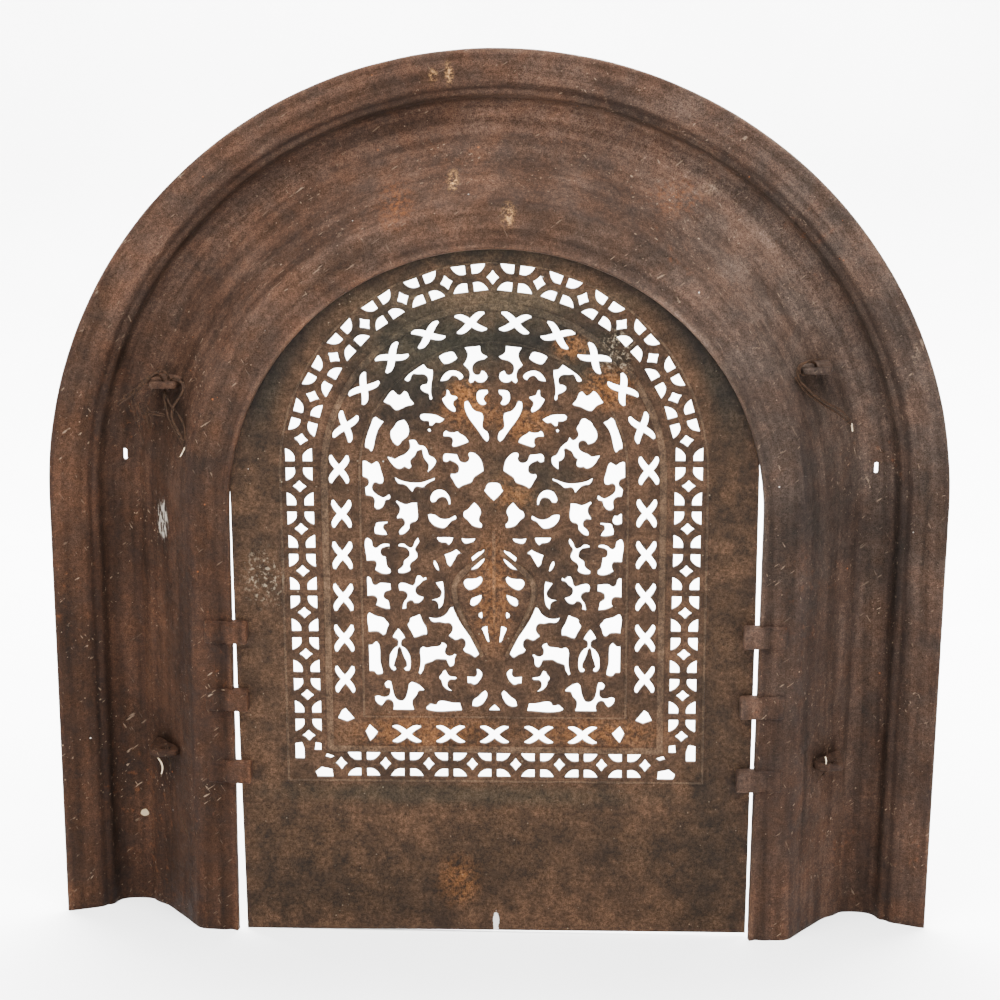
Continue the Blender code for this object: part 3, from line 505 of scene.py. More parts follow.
# darker places under the ears and low on the legs, partly soot and partly painted shade: x, z, reach in x,
# reach in z, darkness
sootAndShade = [(-288, 470, 26, 34, 0.45), (-322, 470, 9, 60, 0.5), (270, 500, 24, 20, 0.25),
        (-290, 150, 16, 24, 0.4), (288, 158, 18, 20, 0.45), (-345, 60, 16, 90, 0.45),
        (-300, 70, 10, 80, 0.3), (330, 60, 14, 90, 0.3), (-240, 130, 12, 120, 0.3),
        (-300, 40, 60, 40, 0.2)]


def runPlace(x, z):
    # offset inward from the rim, and degrees round the arch
    if z >= archHeight:
        return outerRadius - math.hypot(x, z - archHeight), math.degrees(math.atan2(z - archHeight, x))
    if x < 0:
        return outerRadius + x, 180 + (archHeight - z) * 0.2
    return outerRadius - x, (z - archHeight) * 0.2


def markSkin(mesh):
    warmth = mesh.attributes.new("warm", "FLOAT", "POINT")
    for vert, item in zip(mesh.vertices, warmth.data):
        item.value = between(roundWarmth, runPlace(vert.co.x / mm, vert.co.z / mm)[1])
    # the lightness per point, with painted shade in the grooves and painted light on the crown
    shadedTones = mesh.attributes.new("shadedTone", "FLOAT", "POINT")
    for vert, item in zip(mesh.vertices, shadedTones.data):
        x, z = vert.co.x / mm, vert.co.z / mm
        offset, turn = runPlace(x, z)
        high = max(0.0, math.sin(math.radians(turn))) if -1 < turn < 181 else 0.0
        shadedTone = between(roundShadedTone, turn) * between(acrossShadedTone, offset)
        # painted light and shade on the crown, strongest at the top of the arch
        shadedTone *= 1 + high * between(crownLightAndShade, offset)
        # darker spots under the ears and low on the legs, partly soot and partly painted shade
        for sx, sz, rx, rz, dark in sootAndShade:
            away = math.hypot((x - sx) / rx, (z - sz) / rz)
            shadedTone *= 1 - dark * max(0.0, 1 - away * away * 0.5) ** 2
        item.value = shadedTone
    runMap = mesh.uv_layers.new(name="run")
    for loop in mesh.loops:
        co = mesh.vertices[loop.vertex_index].co
        offset, turn = runPlace(co.x / mm, co.z / mm)
        runMap.data[loop.index].uv = (offset * mm, turn * 5 * mm)


# surround

surroundShape = {
    "back": [(0, 34.6), (1.4, 33.6), (4, 34.3), (15, 38.2), (27, 42.6), (31, 44.6), (33.4, 47.3),
             (35.5, 48.4), (38, 49.0), (40, 51.2), (42, 56), (45, 60), (50, 62.6), (57, 64),
             (64, 64.2), (70, 63.5), (74, 62), (77, 58.6), (81, 55), (86, 52), (90, 48.6),
             (99, 37.6), (106, 28.8), (113, 20), (117, 14.2), (120, 10.6), (123, 6.6), (126, 4.4),
             (130, 2.9), (138, 2.3), (149, 1.7), (152, 2.4), (155, 2.2), (157.4, 1.0), (159.6, 0.3),
             (161, 0.9)],
    "front": [(161, 5.8), (160, 6.5), (130, 6.5), (127, 9), (117, 22), (102, 42.5), (96, 49.5), (90, 56),
              (82, 64), (76, 68), (68, 68.7), (58, 68.7), (50, 68), (44, 66.2), (40, 64), (35, 56.5),
              (31, 51.5), (20, 46), (4, 40), (0.6, 38.6), (0, 37)],
    "archSteps": 220,
    "legSteps": 84,
    "wave": 0.28,
}
slotPlaces = [(-326, 422), (327.5, 419.5)]


def surroundShell(shape):
    bm = bmesh.new()
    outline = softRun(shape["back"], 2.3)[:-1] + softRun(shape["front"], 4.5)
    ring = [bm.verts.new(spot(-(outerRadius - s), depth, 0)) for s, depth in outline]
    edges = [bm.edges.new(pair) for pair in zip(ring, ring[1:] + ring[:1])]
    firstRing = edges[:]

    def drawOut(edges, height, steps):
        for i in range(steps):
            made = bmesh.ops.extrude_edge_only(bm, edges=edges)["geom"]
            tips = newVerts(made)
            bmesh.ops.translate(bm, verts=tips, vec=(0, 0, height / steps * mm))
            edges = newEdges(made, set(tips))
        return edges

    edges = drawOut(edges, archHeight, shape["legSteps"])
    verts = list({vert for edge in edges for vert in edge.verts})
    last = bmesh.ops.spin(bm, geom=verts + edges, cent=(0, 0, archHeight * mm), axis=(0, 1, 0),
                          angle=math.pi, steps=shape["archSteps"], use_merge=False,
                          use_duplicate=False)["geom_last"]
    edges = [item for item in last if isinstance(item, bmesh.types.BMEdge)]
    lastRing = drawOut(edges, -archHeight, shape["legSteps"])
    for rim in (firstRing, lastRing):
        bmesh.ops.contextual_create(bm, geom=rim)
    bmesh.ops.recalc_face_normals(bm, faces=bm.faces[:])
    bm.normal_update()
    for vert in bm.verts:
        offset, turn = runPlace(vert.co.x / mm, vert.co.z / mm)
        broad = noise.noise(Vector((vert.co.x * 26, vert.co.y * 26, vert.co.z * 26)))
        ribs = noise.noise(Vector((offset * 0.22, turn * 0.035, 3.0)))
        fine = noise.noise(Vector((vert.co.x * 160, vert.co.y * 160, vert.co.z * 160)))
        push = shape["wave"] * (0.9 * broad + 0.8 * ribs + 0.45 * fine)
        if vert.co.z > 1e-5:
            vert.co += vert.normal * push * mm
    keepInside(bm)
    caps = [face for face in bm.faces if len(face.verts) > 4]
    bmesh.ops.triangulate(bm, faces=caps)
    return bm


shell = surroundShell(surroundShape)
surround = finishPiece("surround_shell", shell, ironSkin, "surround")

slotShape = {"width": 3.6, "deep": 40, "height": 10.5, "depth": 60, "rounding": 1.3}
cutters = bmesh.new()
for x, z in slotPlaces:
    side = bmesh.ops.create_cube(cutters, size=1.0)["verts"]
    size = (slotShape["width"] * mm, slotShape["deep"] * mm, slotShape["height"] * mm)
    bmesh.ops.scale(cutters, vec=size, verts=side)
    bmesh.ops.translate(cutters, vec=spot(x, slotShape["depth"], z), verts=side)
through = [edge for edge in cutters.edges if abs(edge.verts[0].co.y - edge.verts[1].co.y) > 1e-4]
bmesh.ops.bevel(cutters, geom=through, offset=slotShape["rounding"] * mm, segments=3, profile=0.5,
                affect="EDGES", material=-1)
slotMesh = bpy.data.meshes.new("slot_cutter")
cutters.to_mesh(slotMesh)
cutters.free()
slotCutter = standing("slot_cutter", slotMesh)
cut = surround.modifiers.new("slots", "BOOLEAN")
cut.operation = "DIFFERENCE"
cut.object = slotCutter
cutMesh = frozen(surround)
surround.modifiers.clear()
surround.data = cutMesh
bpy.data.objects.remove(slotCutter, do_unlink=True)
for face in cutMesh.polygons:
    face.use_smooth = True
markSkin(cutMesh)
print("surround shell:", len(cutMesh.polygons), "faces")


# lugs that hold the cover, and ears for the ties

# side, height, reach into the opening
lugs = [(-1, 282, 213), (-1, 220, 213), (-1, 153, 212), (1, 285, 213), (1, 221, 212), (1, 153, 211)]
lugShape = {"height": 18.0, "front": 6.2, "back": -8.0, "root": 251.0, "rounding": 1.7, "flare": 2.2,
            "slope": 2.5, "hollow": 2.2}


def roughen(bm, verts, size, depth, seed):
    for vert in verts:
        at = vert.co / (size * mm) + Vector((seed * 7.3, seed * 3.1, 0))
        vert.co += noise.noise_vector(at) * depth * mm


def addTo(whole, part):
    mesh = bpy.data.meshes.new("part")
    part.to_mesh(mesh)
    part.free()
    whole.from_mesh(mesh)
    bpy.data.meshes.remove(mesh)


allLugs = bmesh.new()
for number, (side, height, reach) in enumerate(lugs):
    bm = bmesh.new()
    bmesh.ops.create_cube(bm, size=1.0)
    length = lugShape["root"] - reach
    deep = lugShape["front"] - lugShape["back"]
    bmesh.ops.scale(bm, vec=(length * mm, deep * mm, lugShape["height"] * mm), verts=bm.verts[:])
    middle = spot(side * (reach + length / 2), (lugShape["front"] + lugShape["back"]) / 2, height)
    bmesh.ops.translate(bm, vec=middle, verts=bm.verts[:])
    for vert in bm.verts:
        atRoot = abs(vert.co.x) > (reach + length / 2) * mm
        behind = vert.co.y < middle.y
        if atRoot:
            vert.co.z += math.copysign(lugShape["flare"] * mm, vert.co.z - middle.z)
        if atRoot and behind:
            vert.co.y = spot(0, 0.6, 0).y
        if behind and vert.co.z > middle.z:
            vert.co.z -= lugShape["slope"] * mm
    bmesh.ops.bevel(bm, geom=bm.edges[:], offset=lugShape["rounding"] * mm, segments=3, profile=0.5,
                    affect="EDGES", clamp_overlap=True, material=-1)
    bmesh.ops.subdivide_edges(bm, edges=[edge for edge in bm.edges if edge.calc_length() > 4 * mm], cuts=6,
                              use_grid_fill=True)
    bmesh.ops.triangulate(bm, faces=[face for face in bm.faces if len(face.verts) > 4])
    for vert in bm.verts:
        inward = (abs(vert.co.x) / mm - reach) / length
        if vert.co.y < middle.y - 1 * mm and 0.45 < inward < 1:
            # the back face falls away to the root in a hollow curve
            vert.co.y += lugShape["hollow"] * mm * math.sin(math.pi * (inward - 0.45) / 0.55)
    roughen(bm, bm.verts, 7, 0.5, number + 1)
    bmesh.ops.recalc_face_normals(bm, faces=bm.faces[:])
    smooth(bm.faces)
    addTo(allLugs, bm)
lugPiece = finishPiece("cover_lugs", allLugs, ironSkin)
markSkin(lugPiece.data)
print("lugs:", len(lugPiece.data.polygons), "faces")


def outlineArea(points):
    return sum(a[0] * b[1] - b[0] * a[1] for a, b in zip(points, points[1:] + points[:1])) / 2


def flatPlate(name, outlines, half, rounding):
    # the first outline is the edge and the rest are holes, wound the other way for the rounding
    curve = bpy.data.curves.new(name, "CURVE")
    curve.dimensions = "2D"
    curve.fill_mode = "BOTH"
    curve.bevel_depth = rounding * mm
    curve.bevel_resolution = 1
    curve.offset = -rounding * mm
    curve.extrude = (half - rounding) * mm
    for number, outline in enumerate(outlines):
        outline = [tuple(p) for p in outline]
        if (outlineArea(outline) > 0) == (number > 0):
            outline.reverse()
        spline = curve.splines.new("POLY")
        spline.points.add(len(outline) - 1)
        for point, (x, z) in zip(spline.points, outline):
            point.co = (x * mm, z * mm, 0, 1)
        spline.use_cyclic_u = True
    return curveMesh(name, curve)


# x, z, radius of the upright hole
ears = [(-284, 494, 4.5), (268, 514, 4.5), (-293, 160, 4.5), (294, 158, 4.5)]
earShape = {"width": 27.0, "thick": 6.0, "front": 20.0, "root": 56.0, "rounding": 1.6}

allEars = bmesh.new()
for number, (x, z, hole) in enumerate(ears):
    half = earShape["width"] / 2
    front = earShape["front"] + depthShift
    root = earShape["root"] + depthShift
    plan = [(x - half, root), (x - half, front + 7), (x - half + 2.4, front + 1.8), (x - half + 7, front),
            (x + half - 7, front), (x + half - 2.4, front + 1.8), (x + half, front + 7), (x + half, root)]
    bore = [(x + hole * math.cos(a * math.pi / 8), front + 8.5 + hole * 0.85 * math.sin(a * math.pi / 8))
            for a in range(16)]
    ear = flatPlate("ear", [softRun(plan, 2.5, True, 80), bore], earShape["thick"] / 2, earShape["rounding"])
    bmesh.ops.translate(ear, vec=(0, 0, z * mm), verts=ear.verts[:])
    roughen(ear, ear.verts, 6, 0.7, number + 2)
    addTo(allEars, ear)
bmesh.ops.recalc_face_normals(allEars, faces=allEars.faces[:])
earPiece = finishPiece("tie_ears", allEars, ironSkin)
markSkin(earPiece.data)
print("ears:", len(earPiece.data.polygons), "faces")


# shallow strokes cast on the left leg, in two short rows

markShape = {"middle": (-255.4, 327.6), "column": 5.0, "row": 4.6, "radius": 1.3, "rise": 0.7, "half": 3.2}
bm = bmesh.new()
for row in (-1, 1):
    for column in (-1, 0, 1):
        bar = bmesh.ops.create_uvsphere(bm, u_segments=12, v_segments=8, radius=1.0)["verts"]
        x = markShape["middle"][0] + column * markShape["column"]
        z = markShape["middle"][1] + row * markShape["row"]
        offset = outerRadius + x
        size = (markShape["radius"] * mm, markShape["rise"] * mm, markShape["half"] * mm)
        bmesh.ops.scale(bm, vec=size, verts=bar)
        tilt = Matrix.Rotation(math.radians(14 * column - 8 * row), 3, "Y")
        bmesh.ops.rotate(bm, cent=(0, 0, 0), matrix=tilt, verts=bar)
        bmesh.ops.translate(bm, vec=spot(x, between(surroundShape["back"], offset), z), verts=bar)
smooth(bm.faces)
strokes = finishPiece("cast_strokes", bm, ironSkin)
markSkin(strokes.data)


# summer cover

coverShape = {"half": 224.3, "foot": 222.2, "shoulder": 300, "rimHeight": 419.5, "archHeight": 422.0,
              "lean": 0.6, "shift": 2.3, "back": 6.8, "thick": 4.5, "rounding": 0.6, "bandRadius": 164.7,
              "bandArchHeight": 425.6, "bandLeg": 162.7, "crossRadius": 131.2, "crossLeg": 129.9,
              "sideDrop": 0.9, "scrollDrop": 2.7, "rimDrop": 2.3}
scroll = [
    [(-24, 533.8), (-11, 535.2), (-10, 529.5), (-4.7, 526), (-7, 523.8), (-12, 522.5), (-15.5, 520.5),
     (-17.5, 517.5), (-17.5, 514), (-16, 511.3), (-13.5, 510.3), (-11, 511), (-9.5, 514), (-7.5, 513.5),
     (-5.3, 510.5), (-5.2, 507.5), (-7.2, 504.7), (-10, 503.6), (-13, 504), (-15.5, 505.7), (-17, 504),
     (-19, 503), (-20.2, 504.8), (-19.2, 509.5), (-20.2, 514), (-24.8, 518.8), (-22, 523.5), (-21, 528)],
    [(-45.4, 525.8), (-43.5, 527.3), (-37, 529.8), (-33.5, 530), (-30, 524.7), (-31.5, 523), (-41, 519.5),
     (-42.5, 520.8)],
    [(-44.3, 504.8), (-42, 509.5), (-38.5, 512.8), (-35, 514.2), (-30.5, 513.7), (-27, 511.8),
     (-25.2, 509.3), (-26.3, 506.6), (-28.3, 505.8), (-30, 508.3), (-32, 509.4), (-35, 509.3),
     (-37.7, 506.3), (-40.5, 505)],
    [(-74.5, 505.8), (-71.5, 509.8), (-65, 514.8), (-58.3, 519.3), (-57, 518), (-55.3, 515.8),
     (-50.7, 514.6), (-50.6, 511), (-52, 502), (-52.3, 494), (-51.3, 490), (-52.3, 488.3), (-53.6, 489.7),
     (-54, 493.5), (-57.5, 495), (-60.8, 497.8), (-60.8, 500.3), (-58.5, 502), (-55.5, 502.3), (-54.4, 505),
     (-55, 508), (-57.5, 510.2), (-64, 510.5), (-67, 510.8), (-69, 508.5), (-70.3, 505), (-72, 504.3)],
    [(-92.3, 486.7), (-90, 490.2), (-85, 496.5), (-83.8, 496.8), (-82, 494.8), (-80, 493), (-78, 492.7),
     (-76.3, 494.3), (-74.5, 496.4), (-72.7, 495.6), (-70, 489.7), (-66.5, 485.5), (-68, 484.2), (-73, 483),
     (-78.5, 480.3), (-82, 479.4), (-87, 484.2), (-90.5, 485.6)],
    [(-39, 497.6), (-37.5, 497), (-36.3, 493.8), (-34, 492.5), (-31.2, 492), (-29.8, 490.7), (-33.8, 486.8),
     (-34, 485), (-32.2, 482), (-31.7, 479.5), (-32.7, 478.1), (-34.8, 478.8), (-38.8, 482), (-42, 486.8),
     (-43.2, 489.5), (-41, 491.2), (-39.5, 492.2), (-39, 494.5)],
    [(-13.9, 492), (-13.3, 495.3), (-12, 496.8), (-5, 497.6), (-4.4, 496), (-5.2, 493.8), (-7.8, 491.8),
     (-8.3, 489.7), (-6, 486.3), (-6.8, 484.8), (-9.3, 484.2), (-12, 485.7), (-13.6, 488.5)],
    [(-24.2, 485), (-23.5, 487.5), (-21.5, 488), (-20, 485.8), (-18, 482), (-15, 479.3), (-9.5, 477.3),
     (-8.8, 475), (-8.8, 464.2), (-5.5, 461.7), (-4.2, 458.5), (-4.3, 454), (-5.5, 452.5), (-7.3, 453.8),
     (-11, 459.3), (-15, 465), (-20, 472), (-22.8, 477.5), (-24, 481.5)],
    [(-100.5, 473.3), (-98.9, 474), (-96, 471.5), (-92.5, 470), (-97.7, 462.3), (-99.7, 456.5),
     (-101.5, 448), (-103, 443.8), (-104, 443.8), (-105.5, 445.7), (-108.5, 447), (-108.5, 450.5),
     (-106.3, 458.5), (-103, 467.5)],
    [(-84, 421.6), (-80, 419.2), (-75, 417.6), (-69, 416.7), (-61, 417), (-55, 419), (-50, 420.9),
     (-50, 419.3), (-54, 417), (-57.7, 414.5), (-60, 412.3), (-62.5, 412.4), (-65.5, 413), (-67.7, 411.5),
     (-69.2, 408.2), (-71.5, 410.7), (-74.3, 413.7), (-77.5, 415), (-80.5, 415.3), (-82.8, 418)],
    [(-42.5, 439.5), (-40.8, 442.2), (-38, 442.2), (-31, 441.5), (-30, 438.8), (-28.7, 436), (-26, 434.5),
     (-23, 434.5), (-21, 436), (-20.3, 438.5), (-21.3, 441.3), (-20.5, 443), (-17.5, 443.3), (-14, 441.3),
     (-11, 437.5), (-9.3, 432.5), (-8.6, 427), (-12.5, 424.3), (-17, 421), (-19, 417), (-22.5, 415.5),
     (-26.5, 414), (-30, 411.8), (-31.7, 413.5), (-34, 418), (-36.5, 423), (-35.5, 424.7), (-32.5, 424.5),
     (-30, 425.7), (-29, 428.5), (-29.7, 431.5), (-32, 433.8), (-35, 435.3), (-37.3, 436.4), (-39.5, 434.6),
     (-42.2, 435.3)],
    [(-61.8, 474), (-60.3, 476.3), (-55.5, 476.7), (-49, 476), (-44.5, 474), (-41.2, 472), (-42.8, 470.5),
     (-45.5, 468.7), (-48.7, 469.2), (-51.7, 466.3), (-53.7, 466.3), (-54.3, 470.3), (-59, 470.5),
     (-61, 471.7)],
    [(-55.7, 462.4), (-54, 464.1), (-52.3, 462.4), (-54, 460.7)],
    [(-42.2, 457), (-41.5, 461), (-40, 462.3), (-37.5, 460.9), (-32.5, 460.8), (-30.2, 461.6), (-28.7, 460),
     (-24.7, 457.7), (-22, 454.5), (-21.2, 452), (-23.5, 451), (-30, 448.7), (-33.8, 447.9), (-35.2, 449.5),
     (-34, 452.2), (-34.2, 454.5), (-36.2, 456.5), (-39.5, 457)],
    [(-110.8, 435.3), (-109, 435.8), (-106, 434.3), (-103.5, 432.5), (-101, 434), (-99, 435.2),
     (-97.8, 434.3), (-95.5, 427), (-93.7, 418.7), (-95, 415.5), (-97.3, 415.2), (-100, 416.6),
     (-102.5, 415.5), (-103.6, 412.8), (-102.8, 409.5), (-100, 406.5), (-97, 404.7), (-94, 403.5),
     (-91.3, 404.5), (-88.7, 406.2), (-88, 404.3), (-89.2, 401.5), (-92.5, 400.7), (-93.5, 397),
     (-96, 393.7), (-99, 392.8), (-101.5, 394.5), (-101, 400), (-103, 403.7), (-108.3, 405), (-109, 412),
     (-106.3, 414.3), (-105.7, 417), (-107, 419.7), (-111, 421.5)],
    [(-83.2, 399), (-82.2, 400.8), (-79.5, 399.2), (-74.5, 397.5), (-70, 398.8), (-65.5, 399.1),
     (-65.6, 383.5), (-67, 382), (-70, 381.3), (-72, 379.5), (-72, 376.5), (-74, 373.5), (-77.5, 370.7),
     (-80.3, 370.3), (-80.8, 372.5), (-78.8, 376.3), (-75.7, 379.5), (-76, 382.5), (-78.5, 385),
     (-82.5, 384.5), (-82.3, 386.5), (-80, 390.5), (-79.8, 394.5), (-81, 396.5)],
    [(-53.8, 401), (-53, 405.3), (-50.3, 409.3), (-46.3, 410.7), (-42, 409.7), (-38.8, 406.3), (-37.2, 402),
     (-37, 397.3), (-38, 397.3), (-39, 400.5), (-41, 403.3), (-44.5, 403.8), (-47.8, 402.3), (-49.8, 399.5),
     (-52.8, 399.2)],
    [(-56, 388.5), (-54.5, 389), (-50, 388.3), (-47, 386), (-43.5, 384.7), (-39, 384.8), (-35.5, 386.3),
     (-33, 388), (-32, 386.5), (-32.5, 384.2), (-36, 382.7), (-39.3, 379), (-42.5, 376.3), (-47, 376.8),
     (-51.5, 379), (-55, 383.5)],
    [(-49, 368.5), (-47.5, 365.3), (-45, 363.5), (-41, 363.3), (-38.7, 361.3), (-36.7, 363.3),
     (-34.7, 368.3), (-37, 368.5)],
    [(-16.5, 399.5), (-13.5, 396.5), (-11.3, 392.5), (-11.3, 389), (-12.7, 386), (-12.5, 382.5),
     (-10.3, 380.5), (-10.7, 376.7), (-13.5, 377), (-17.5, 378.3), (-20, 380.5), (-22.5, 383.7),
     (-25.3, 386), (-25, 391.5), (-22.3, 393), (-19.5, 396)],
    [(-27.5, 368), (-24.5, 367.2), (-20, 367.3), (-16, 367.7), (-17, 365), (-20, 363.4), (-25.2, 362.8),
     (-26.6, 364.3)],
    [(-99.8, 381), (-96, 381.7), (-90.8, 382), (-90.8, 380.3), (-94, 379.3), (-94.7, 376.5), (-92.5, 373.5),
     (-91, 370), (-95, 369.8), (-101.5, 371), (-102, 375), (-100.7, 378.5)],
    [(-109, 367), (-107.8, 367.7), (-104.5, 365), (-104, 361), (-101.5, 358.5), (-99.5, 359), (-97, 361.3),
     (-93.5, 362.5), (-89.7, 362.3), (-89.2, 360), (-94, 359), (-97, 357), (-97.3, 354.5), (-95.7, 351.7),
     (-93, 351), (-92.3, 345.5), (-91.3, 341.7), (-89.2, 339.8), (-89, 336), (-91.5, 335), (-96.5, 335.5),
     (-102.3, 338.7), (-101, 341), (-100.5, 344), (-102, 346.7), (-105, 347), (-109, 346.7)],
    [(-82, 360), (-81, 362), (-77, 362.6), (-74.5, 360.5), (-71, 359), (-69.5, 359.5), (-67.3, 364.5),
     (-64.8, 368), (-64, 365), (-65.3, 361.5), (-67.7, 358), (-66, 354), (-65.8, 350.5), (-68, 347.5),
     (-71, 345.5), (-72.5, 342.5), (-71.7, 339), (-74, 337), (-78.5, 335.7), (-81.8, 336), (-82.4, 339),
     (-79.5, 341), (-77.2, 343.8), (-76.8, 347.5), (-74.3, 349.5), (-72, 352), (-72.7, 355.7),
     (-75.5, 358.7), (-79, 359.3)],
    [(-51.7, 345.3), (-50.8, 347.8), (-49.3, 346), (-46.8, 338), (-48.5, 338.7), (-51, 342.5)],
    [(-42.5, 353), (-37, 355), (-32, 357.7), (-28, 354), (-31, 353), (-34, 348), (-37.5, 342),
     (-39.5, 343.5), (-41, 349)],
    [(-109, 332.5), (-107.5, 333), (-105.7, 331), (-104.7, 327), (-102.5, 325.2), (-100.5, 325.5),
     (-98.3, 327.2), (-94, 327.3), (-89.2, 326.8), (-88.8, 320.7), (-91, 320), (-94.3, 318.5),
     (-95.3, 315.7), (-94.3, 313.3), (-91.3, 311.5), (-90.5, 308), (-89.7, 303.5), (-92, 303.5),
     (-96.5, 304.5), (-102, 307), (-100.7, 309), (-100.5, 312.5), (-102.5, 315), (-105.5, 315.5),
     (-109, 315)],
    [(-81.8, 325.5), (-80.7, 327.2), (-76, 327.2), (-72.5, 325.8), (-69.5, 325), (-67.7, 327),
     (-66.7, 331.5), (-65.3, 334.2), (-63.5, 334.2), (-60.8, 331.5), (-58.5, 333), (-58, 330), (-61.2, 329),
     (-64, 325.8), (-67.5, 322.8), (-67.7, 319.5), (-65.5, 316.5), (-60.7, 314.8), (-62, 311.7),
     (-65, 309.2), (-68.5, 309), (-70.5, 311.3), (-74, 310.7), (-75.8, 308.5), (-75.8, 304), (-79, 303.3),
     (-78, 308), (-77, 311), (-75.2, 313.2), (-74.2, 315.8), (-75.3, 318.3), (-78, 319.7), (-81.3, 320)],
    [(-50.3, 327.9), (-46.2, 328.7), (-44.3, 329.3), (-43.6, 326), (-43.7, 312), (-45.2, 306.5),
     (-47.7, 304), (-48.2, 308.5), (-50.5, 311), (-53.7, 311.6), (-53.5, 312.6), (-49.8, 313.3),
     (-46.3, 315), (-44.8, 318.3), (-46.3, 321.7), (-48.7, 325)],
    [(-108.5, 299.5), (-107.3, 300.5), (-102, 297.5), (-95, 295.5), (-93.5, 293.3), (-91.2, 290.5),
     (-92.8, 286), (-95, 280), (-96.3, 279.8), (-99.3, 282.3), (-104, 283), (-108.4, 282.5)],
    [(-74.6, 289.5), (-72.7, 292.5), (-72.2, 295.5), (-67, 297.8), (-64.2, 299.3), (-61.7, 292.5),
     (-58.6, 286.5), (-58.4, 280.3), (-61.5, 280.3), (-66, 278.3), (-69.2, 277.7), (-71.5, 282.5)],
    [(-56.7, 297), (-52.8, 295.8), (-48, 296), (-43.5, 297.8), (-40, 301), (-37.5, 305.3), (-35.8, 306),
     (-34, 301.5), (-31, 295), (-25, 285), (-18, 274.7), (-13.7, 267.5), (-12.3, 264.7), (-15, 261),
     (-17, 259.8), (-20.8, 262.5), (-25.3, 264.5), (-27.2, 267.3), (-25, 270), (-24.5, 273), (-26, 276),
     (-28.7, 277.3), (-31.5, 276), (-33.5, 275.5), (-36.3, 277.3), (-39.5, 279.5), (-37.3, 282.2),
     (-35.7, 285), (-36.2, 288.7), (-39, 291), (-42.5, 290.8), (-47, 291.8), (-53.5, 292)],
    [(-108.6, 271), (-105, 271.5), (-103.3, 273.3), (-102, 274.4), (-100, 272), (-99.2, 267), (-99, 256),
     (-97.3, 248), (-97, 244.7), (-98.7, 243.7), (-102.3, 243.7), (-104.2, 246.2), (-108.4, 246.5)],
    [(-82.8, 286.2), (-84.8, 283.5), (-86.8, 280.3), (-87.9, 277.5), (-83.8, 275.5), (-82.8, 272.5),
     (-83.3, 270), (-85.5, 269), (-87.8, 266.5), (-90, 262.5), (-90.7, 257), (-90.8, 252), (-89.5, 248.5),
     (-87.3, 247), (-85.5, 248), (-85.7, 250.5), (-87.5, 252), (-86.5, 256), (-84.9, 260.5), (-84.2, 265),
     (-83.3, 268.3), (-82.3, 269), (-81, 268), (-79.5, 263), (-77.8, 258.5), (-76, 254.5), (-75.7, 251.7),
     (-77.5, 250.5), (-78.3, 248.5), (-76.8, 246.8), (-74.5, 247), (-73, 250.5), (-72.7, 256), (-73.5, 262),
     (-75.5, 266), (-78, 269), (-80.5, 270.3), (-81, 272.5), (-80.3, 275), (-77, 277.3), (-78.5, 280.5),
     (-80.5, 283.5)],
    [(-63.2, 268.7), (-61.5, 269.8), (-58.5, 268.7), (-55, 269.5), (-51, 270), (-47.5, 270.5),
     (-45.8, 271.8), (-45.2, 273.8), (-43, 273), (-41, 270.8), (-42.7, 267.3), (-42.9, 264.3),
     (-40.7, 261.8), (-37, 261.5), (-34.2, 263.5), (-32.7, 262.3), (-34.5, 259.5), (-35, 254.5),
     (-36.3, 251.7), (-38.3, 251), (-39.7, 253), (-41.5, 257.5), (-46, 257.8), (-51, 257.7), (-54.5, 255.5),
     (-58.5, 254.2), (-61, 252.7), (-61.5, 249), (-64.3, 243.8), (-65.8, 245), (-64.8, 248.5), (-63.8, 255)],
    [(-42.5, 248.5), (-41.5, 246.5), (-40, 243.8), (-37.5, 242.6), (-34, 242.3), (-32.3, 241.2),
     (-34.5, 239.2), (-38, 239.3), (-40.3, 237.8), (-41.2, 235), (-40, 232), (-37.5, 230), (-35.8, 228.6),
     (-38, 228.6), (-42, 230.5), (-45, 234), (-46, 238.3), (-47.9, 240.5), (-47.3, 243), (-45.5, 245),
     (-44.3, 247.5)],
    [(-15.5, 249.8), (-13.5, 249.3), (-10.9, 246), (-11.4, 242), (-14, 237.3), (-17.5, 234.7), (-20.5, 236),
     (-23.2, 236), (-23.5, 242.7), (-20, 242.4), (-16.5, 242.5), (-15, 244.5)],
    [(-95.5, 234.5), (-94.8, 236.5), (-92.3, 238.3), (-90.3, 238), (-89.4, 235), (-88.5, 229.5),
     (-86.7, 223.5), (-84, 220.6), (-81.3, 219.9), (-78.8, 220.6), (-76.7, 224), (-75, 230), (-74, 235.5),
     (-72.3, 237.3), (-69.5, 236.7), (-64.5, 233.8), (-60.7, 229.8), (-62, 229), (-66.3, 228.4),
     (-68, 224.5), (-71.7, 219.5), (-70, 210.8), (-88.6, 210.8), (-87.7, 214), (-88.5, 217.8),
     (-91.5, 220.4), (-95, 219.8), (-97, 216.5), (-98.7, 214.7), (-101.3, 216), (-103.8, 219.5),
     (-104, 223.5), (-101.5, 224.6), (-97, 223.2), (-92.5, 224), (-90.7, 226.5), (-91, 230.8), (-94, 231)],
    [(-59.5, 213.7), (-57.5, 215.5), (-55.5, 217.2), (-53, 216.6), (-50.2, 216.8), (-48.8, 219.5),
     (-46.5, 220.2), (-36, 218.4), (-30.2, 218.3), (-28.3, 210.7), (-57.5, 210.7), (-59.3, 211.8)],
    [(-8, 229.9), (-6.7, 228.2), (-6.6, 224.5), (-8.7, 219.5), (-11.7, 216), (-15.5, 214.4), (-19.6, 215.1),
     (-17.8, 221.5), (-14, 224.3), (-10.3, 228.3)],
